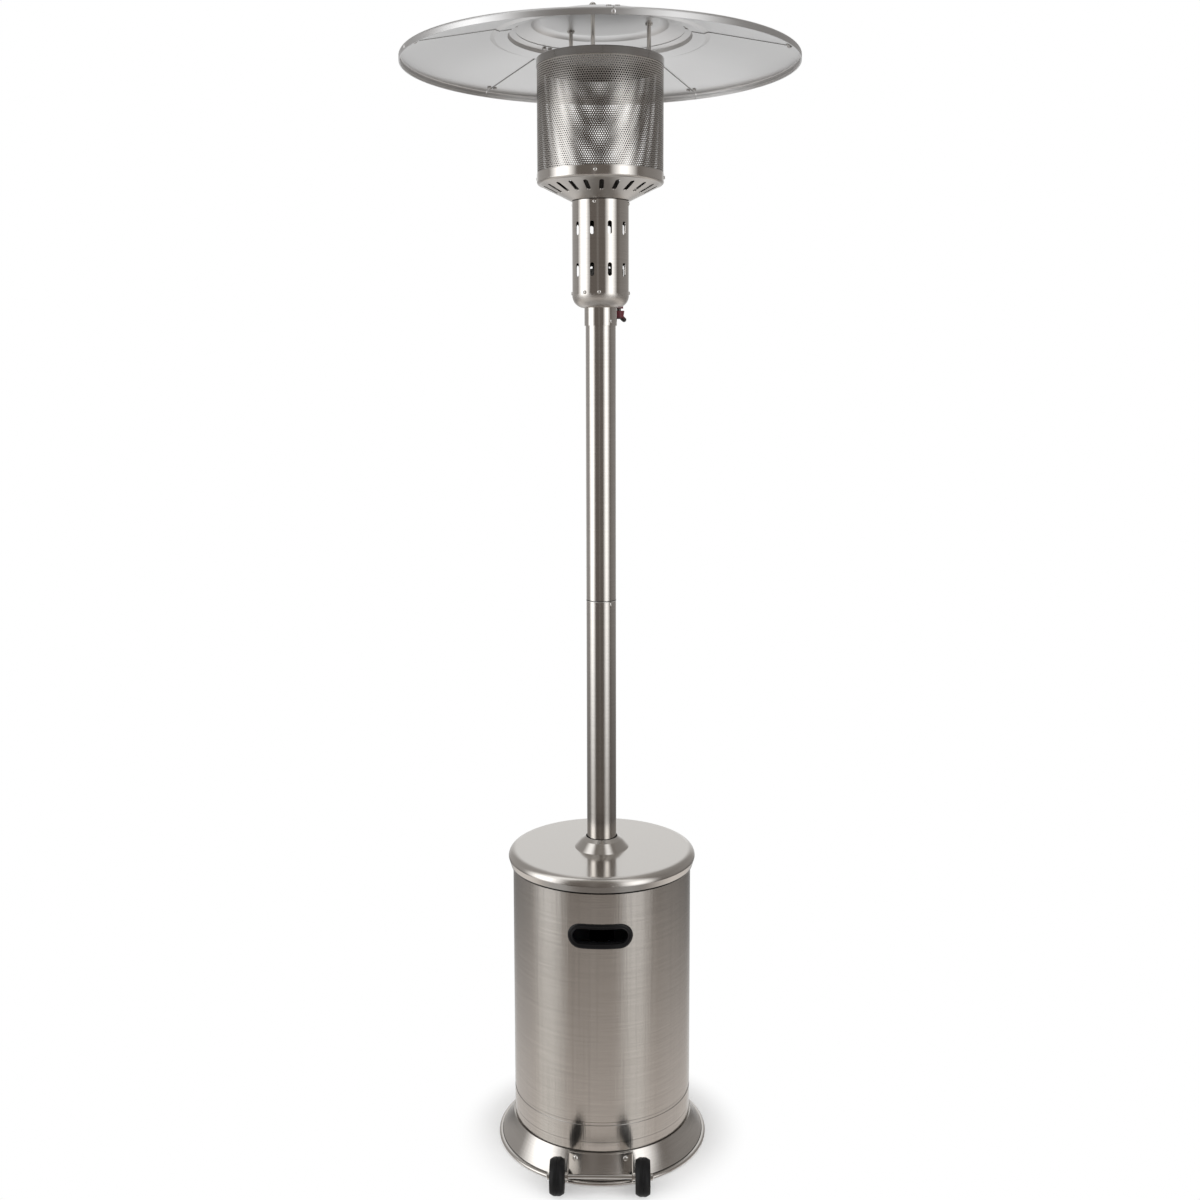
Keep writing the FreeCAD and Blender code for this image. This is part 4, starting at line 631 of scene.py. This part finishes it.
def add_emitter():
    """The emitter screen's drum, as four rings of perforated sheet."""
    low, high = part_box("emitter_screen")
    radius = high.x
    hole_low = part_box("burner_dish")[1].z + HOLE_MARGIN
    hole_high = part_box("emitter_cap")[0].z - HOLE_MARGIN
    row_h = (hole_high - hole_low) / HOLE_ROWS
    rows = HOLE_ROWS // HOLE_BANDS
    for band in range(HOLE_BANDS):
        start = hole_low + band * rows * row_h
        bottom = low.z if band == 0 else start
        top = high.z if band == HOLE_BANDS - 1 else start + rows * row_h
        name = "emitter_mesh_%d" % (band + 1)
        piece = perforated_band(name, radius, bottom, top, band * rows, rows, row_h, start)
        settle(piece, "frame", "emitter_steel", "emitter", "emitter_screen")


# Hand-hold, wheels, pole joint, screws, seams and gland


def loop_faces(rings, count, closed=True):
    """Faces between rings of count points each; a closed tube also joins its last ring to its first."""
    faces = []
    for ring in range(rings if closed else rings - 1):
        after = (ring + 1) % rings
        for step in range(count):
            beside = (step + 1) % count
            faces.append((ring * count + step, ring * count + beside,
                          after * count + beside, after * count + step))
    return faces


def slot_path():
    """Round the slot: the centre along X that each point swings about, and its outward direction."""
    reach = (SLOT_L - SLOT_H) / 2
    path = []
    for side in (1, -1):
        for step in range(SLOT_ARC_STEPS):
            turn = math.pi * (step / SLOT_ARC_STEPS - side / 2)
            path.append((side * reach, math.cos(turn), math.sin(turn)))
        for step in range(SLOT_RUN_STEPS):
            path.append((side * reach * (1 - 2 * step / SLOT_RUN_STEPS), 0.0, side))
    return path


def add_bezel(node):
    """Rounded frame of the hand-hold, lying on the housing's curve."""
    low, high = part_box(node)
    middle_z = (low.z + high.z) / 2
    wall_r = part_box("tank_housing")[1].x
    path = slot_path()
    vertices = []
    for out, up in BEZEL_SECTION:
        for centre, across, rise in path:
            x = centre + (SLOT_H / 2 + out * MM) * across
            y = math.sqrt((wall_r + up * MM) ** 2 - x * x)
            vertices.append((x, -y, middle_z + (SLOT_H / 2 + out * MM) * rise))
    bezel = add_mesh(node + "_rim", vertices, loop_faces(len(BEZEL_SECTION), len(path)))
    settle(bezel, "tank_cover", "black_plastic", "plastic", node)


def add_tyre(node, body):
    """Tyre with bevelled shoulders and a line round its tread."""
    low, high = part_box(node)
    middle = (low + high) / 2
    section = TYRE_SECTION + tuple((r, -x) for r, x in reversed(TYRE_SECTION[:-1]))
    vertices = []
    for r, x in section:
        for turn in turns(RING_STEPS):
            vertices.append(middle + MM * Vector((x, r * math.cos(turn), r * math.sin(turn))))
    tyre = add_mesh(node + "_tread", vertices, loop_faces(len(section), RING_STEPS))
    settle(tyre, body, "black_rubber", "rubber", node)


def add_joint_line():
    """Bright edge of the lower pole at the joint, and a black ring over it that paints the shadow of the gap.
    """
    pole_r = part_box("lower_pole")[1].x
    joint_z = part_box("lower_pole")[1].z
    for name, slot, material, section in (
        ("pole_joint_edge", "bright_hardware", "hardware", JOINT_EDGE),
        # The black ring is painted shadow of the joint's gap.
        ("pole_joint_shadow", "black_rubber", "seam", JOINT_SHADOW),
    ):
        vertices = []
        for out, up in section:
            r = pole_r + out * MM
            for turn in turns(RING_STEPS):
                vertices.append((r * math.cos(turn), r * math.sin(turn), joint_z + up * MM))
        settle(add_mesh(name, vertices, loop_faces(len(section), RING_STEPS)), "frame", slot, material)


def loose_parts(work):
    """Vertices of each separate part of a bmesh."""
    left = set(work.verts)
    while left:
        part = set()
        edge = [left.pop()]
        while edge:
            vert = edge.pop()
            part.add(vert)
            for spoke in vert.link_edges:
                other = spoke.other_vert(vert)
                if other in left:
                    left.remove(other)
                    edge.append(other)
        yield [vert.co.copy() for vert in part]


def screw_axis(points):
    """Top of a screw's head and the direction out of it."""
    array = np.array(points)
    middle = array.mean(axis=0)
    values, vectors = np.linalg.eigh(np.cov((array - middle).T))
    odd = int(np.argmax(np.abs(values - np.median(values))))
    axis = Vector(vectors[:, odd])
    centre = Vector(middle)
    if axis.x * centre.x + axis.y * centre.y < 0:
        axis.negate()
    top = max((Vector(point) - centre).dot(axis) for point in points)
    return centre + axis * top, axis


def add_crossed_screws(node):
    """Copy of a node of screws with a cross recess cut into each head."""
    work = bmesh.new()
    work.from_mesh(NODES[node].data)
    bmesh.ops.remove_doubles(work, verts=work.verts, dist=WELD)
    vertices, faces = [], []
    a, b = CROSS_HALF, CROSS_REACH
    outline = ((b, -a), (b, a), (a, a), (a, b), (-a, b), (-a, a), (-b, a), (-b, -a), (-a, -a), (-a, -b),
               (a, -b), (a, -a))
    count = len(outline)
    for points in loose_parts(work):
        top, axis = screw_axis(points)
        turn = axis.to_track_quat("Z", "Y").to_matrix()
        first = len(vertices)
        for level in (-CROSS_DEPTH, CROSS_DEPTH):
            vertices.extend(top + turn @ Vector((x, y, level)) for x, y in outline)
        faces.append(tuple(first + step for step in reversed(range(count))))
        faces.append(tuple(first + count + step for step in range(count)))
        for step in range(count):
            beside = (step + 1) % count
            faces.append((first + step, first + beside, first + count + beside, first + count + step))
    mesh = bpy.data.meshes.new(node + "_heads")
    work.to_mesh(mesh)
    work.free()
    piece = link(bpy.data.objects.new(mesh.name, mesh))
    cutter = add_mesh("cutter", vertices, faces)
    recess = piece.modifiers.new("recess", "BOOLEAN")
    recess.operation = "DIFFERENCE"
    recess.solver = "EXACT"
    recess.object = cutter
    shaped = piece.evaluated_get(bpy.context.evaluated_depsgraph_get())
    piece.data = bpy.data.meshes.new_from_object(shaped)
    piece.modifiers.clear()
    bpy.data.objects.remove(cutter)
    smooth(piece.data)
    settle(piece, "frame", "bright_hardware", "hardware", node)


def first_hit(names, start, down):
    """Height at which a plumb line from start first meets one of the nodes."""
    hits = []
    for name in names:
        found, place, _, _ = NODES[name].ray_cast(start, Vector((0, 0, -1 if down else 1)))
        if found:
            hits.append(place.z)
    return max(hits) if down else min(hits)


def seam_turn(seam):
    """Rotation from +X to a seam of the petals."""
    return Matrix.Rotation(math.radians(SEAM_ANGLE) + 2 * math.pi * seam / SEAMS, 3, "Z")


def add_seam_strips(name, above, reach, half, material):
    """Strips along the petals' seams, above or under the sheet, dark to paint the seams' shadow lines."""
    near, far = reach
    lift = SEAM_STRIP_GAP if above else -SEAM_STRIP_GAP
    thick = SEAM_STRIP_T if above else -SEAM_STRIP_T
    vertices, faces = [], []
    for seam in range(SEAMS):
        along = seam_turn(seam)
        first = len(vertices)
        for step in range(SEAM_STRIP_STEPS + 1):
            r = near + (far - near) * step / SEAM_STRIP_STEPS
            beside = along @ Vector((r, SEAM_BESIDE, SKY if above else 0.0))
            z = first_hit(PETALS, beside, above) + lift
            for side, up in ((-1, 0), (1, 0), (1, 1), (-1, 1)):
                place = along @ Vector((r, side * half, 0))
                vertices.append((place.x, place.y, z + up * thick))
        rings = loop_faces(SEAM_STRIP_STEPS + 1, 4, False)
        faces.extend(tuple(first + corner for corner in face) for face in rings)
        faces.append(tuple(range(first, first + 4)))
        faces.append(tuple(range(len(vertices) - 4, len(vertices))))
    settle(add_mesh(name, vertices, faces), "frame", "reflector_aluminium", material)


def add_rim_screws():
    """A low domed screw head on the rim's wall at each seam."""
    up = Vector((0, 0, 1))
    level = up * (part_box(PETALS[0])[0].z + RIM_SCREW_UP)
    count = RIM_SCREW_STEPS
    vertices, faces = [], []
    for seam in range(SEAMS):
        turned = seam_turn(seam)
        out, side = turned @ Vector((1, 0, 0)), turned @ Vector((0, 1, 0))
        start = out * OUTSIDE + side * SEAM_BESIDE + level
        hits = [NODES[name].ray_cast(start, -out) for name in PETALS]
        middle = out * max(hit[1].dot(out) for hit in hits if hit[0]) + level
        first = len(vertices)
        for share, rise in RIM_SCREW_RINGS:
            for turn in turns(count):
                ray = side * math.cos(turn) + up * math.sin(turn)
                vertices.append(middle + out * rise * RIM_SCREW_H + ray * share * RIM_SCREW_R)
        rings = loop_faces(len(RIM_SCREW_RINGS), count, False)
        faces.extend(tuple(first + corner for corner in face) for face in rings)
        faces.append(tuple(first + step for step in range(count)))
        last = len(vertices) - count
        vertices.append(middle + out * RIM_SCREW_H)
        faces.extend((last + step, last + (step + 1) % count, last + count) for step in range(count))
    settle(add_mesh("rim_screws", vertices, faces), "frame", "bright_hardware", "rivet")


def add_gland():
    """Ring round the control spindle, under the dome and cut to its curve."""
    low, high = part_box("valve_spindle")
    middle = (low + high) / 2
    foot_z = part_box("control_knob")[1].z + GLAND_CLEAR
    rings = []
    for r, top in ((GLAND_BORE, False), (GLAND_R, False), (GLAND_R, True), (GLAND_BORE, True)):
        for turn in turns(GLAND_STEPS):
            place = Vector((middle.x + r * math.cos(turn), middle.y + r * math.sin(turn), foot_z))
            if top:
                place.z = first_hit(["control_sleeve"], place, False)
            rings.append(place)
    settle(add_mesh("spindle_gland", rings, loop_faces(4, GLAND_STEPS)), "frame", "black_plastic", "knob")


# Studio


def add_camera():
    data = bpy.data.cameras.new("camera")
    data.sensor_fit = "HORIZONTAL"
    data.sensor_width = SENSOR_MM
    data.lens = FOCAL_PX / IMAGE_PX * SENSOR_MM
    data.shift_y = (PRINCIPAL_ROW - IMAGE_PX / 2) / IMAGE_PX
    data.clip_end = CLIP_END
    camera = link(bpy.data.objects.new("camera", data))
    yaw = CAMERA_BEARING + math.atan((AXIS_COLUMN - IMAGE_PX / 2) / FOCAL_PX)
    turn = Matrix.Rotation(yaw, 4, "Z") @ Matrix.Rotation(math.pi / 2 - CAMERA_PITCH, 4, "X")
    camera.matrix_world = Matrix.Translation((
        CAMERA_REACH * math.sin(CAMERA_BEARING),
        -CAMERA_REACH * math.cos(CAMERA_BEARING),
        CAMERA_HEIGHT,
    )) @ turn @ Matrix.Rotation(CAMERA_ROLL, 4, "Z")
    bpy.context.scene.camera = camera


def at_bearing(degrees, reach, z):
    """A place at an angle from the camera's side, positive to the camera's right."""
    turn = math.radians(degrees)
    return Vector((reach * math.sin(turn), -reach * math.cos(turn), z))


def add_softbox(name, bearing, reach, z, size, radiance, aim_z):
    """Area lamp of a given size and brightness, facing the pole."""
    data = bpy.data.lights.new(name, "AREA")
    data.shape = "RECTANGLE"
    data.size, data.size_y = size
    data.energy = radiance * math.pi * size[0] * size[1]
    lamp = link(bpy.data.objects.new(name, data))
    place = at_bearing(bearing, reach, z)
    facing = (Vector((0, 0, aim_z)) - place).to_track_quat("-Z", "Y")
    lamp.matrix_world = Matrix.Translation(place) @ facing.to_matrix().to_4x4()
    lamp.visible_glossy = False


def mirrored_studio(nodes):
    """Colour of the studio in a direction: tall softboxes left and right of dark walls, a pale backdrop."""
    x, y, z = nodes.node("SeparateXYZ", nodes.node("TexCoord").outputs["Generated"]).outputs
    to_degrees = math.degrees(1.0)
    bearing = nodes.math("MULTIPLY", nodes.math("ARCTAN2", x, nodes.math("MULTIPLY", y, -1.0)), to_degrees)
    height = nodes.math("MULTIPLY", nodes.math("ARCSINE", z), to_degrees)
    wall = nodes.stops(height, *HEIGHT_SPAN, WALL_HEIGHTS)
    backdrop = nodes.stops(height, *HEIGHT_SPAN, BACKDROP_HEIGHTS)
    bright = nodes.node("VectorMath", nodes.stops(height, *HEIGHT_SPAN, SOFTBOX_HEIGHTS), operation="SCALE")
    bright.inputs["Scale"].default_value = SOFTBOX_RADIANCE
    around = nodes.mix(nodes.stops(bearing, *BEARING_SPAN, BACKDROP_BEARINGS), wall, backdrop)
    return nodes.mix(nodes.stops(bearing, *BEARING_SPAN, SOFTBOX_BEARINGS), around, bright.outputs["Vector"])


def add_world():
    """White behind the heater, soft light on it, and the studio for what its metal mirrors."""
    world = bpy.data.worlds.new("studio")
    world.use_nodes = True
    bpy.context.scene.world = world
    nodes = Nodes(world.node_tree)
    nodes.tree.nodes.clear()
    path = nodes.node("LightPath").outputs
    seen = nodes.math("MAXIMUM", path["Is Camera Ray"], path["Is Transmission Ray"])
    ambient = nodes.node("Background", WHITE, AMBIENT).outputs[0]
    mirrored = nodes.node("Background", mirrored_studio(nodes), 1.0).outputs[0]
    plain = nodes.node("Background", WHITE, 1.0).outputs[0]
    lit = nodes.node("MixShader", path["Is Glossy Ray"], ambient, mirrored).outputs[0]
    nodes.node("OutputWorld", nodes.node("MixShader", seen, lit, plain).outputs[0])


def floor_material():
    """Pale floor that keeps the shadow near the base and fades to the white background."""
    material = bpy.data.materials.new("studio_floor")
    material.use_nodes = True
    nodes = Nodes(material.node_tree)
    nodes.tree.nodes.clear()
    paper = nodes.node("BsdfDiffuse", FLOOR_COLOR).outputs[0]
    glow = nodes.node("Emission", WHITE, 1.0).outputs[0]
    here = nodes.node("TexCoord").outputs["Object"]
    away = nodes.node("VectorMath", here, operation="LENGTH").outputs["Value"]
    fade = nodes.node("MapRange", away, FLOOR_CLEAR_R, FLOOR_WHITE_R, interpolation_type="SMOOTHSTEP")
    nodes.node("OutputMaterial", nodes.node("MixShader", fade.outputs["Result"], paper, glow).outputs[0])
    return material


def add_floor():
    half = FLOOR_SIDE / 2
    corners = [(-half, -half, 0), (half, -half, 0), (half, half, 0), (-half, half, 0)]
    floor = add_mesh("floor", corners, [(0, 1, 2, 3)])
    paint(floor, floor_material())
    floor.visible_glossy = False


def add_studio():
    add_world()
    add_floor()
    for lamp in LAMPS:
        add_softbox(*lamp)


add_camera()
paint_nodes()
add_emitter()
add_bezel("handle_bezel")
add_tyre("wheel_tyre_left", "wheel_left")
add_tyre("wheel_tyre_right", "wheel_right")
for screws in ("bracket_screws", "pole_screws", "sleeve_screws", "emitter_screws"):
    add_crossed_screws(screws)
add_joint_line()
# Dark strips over and under the seams paint their shadow lines.
add_seam_strips("seam_shadow_covers", True, SEAM_TOPS, SEAM_TOP_HALF, "seam")
add_seam_strips("seam_shadow_lips", False, SEAM_LIPS, SEAM_LIP_HALF, "lip")
add_rim_screws()
add_gland()
add_studio()
bpy.context.scene.view_settings.view_transform = "Standard"
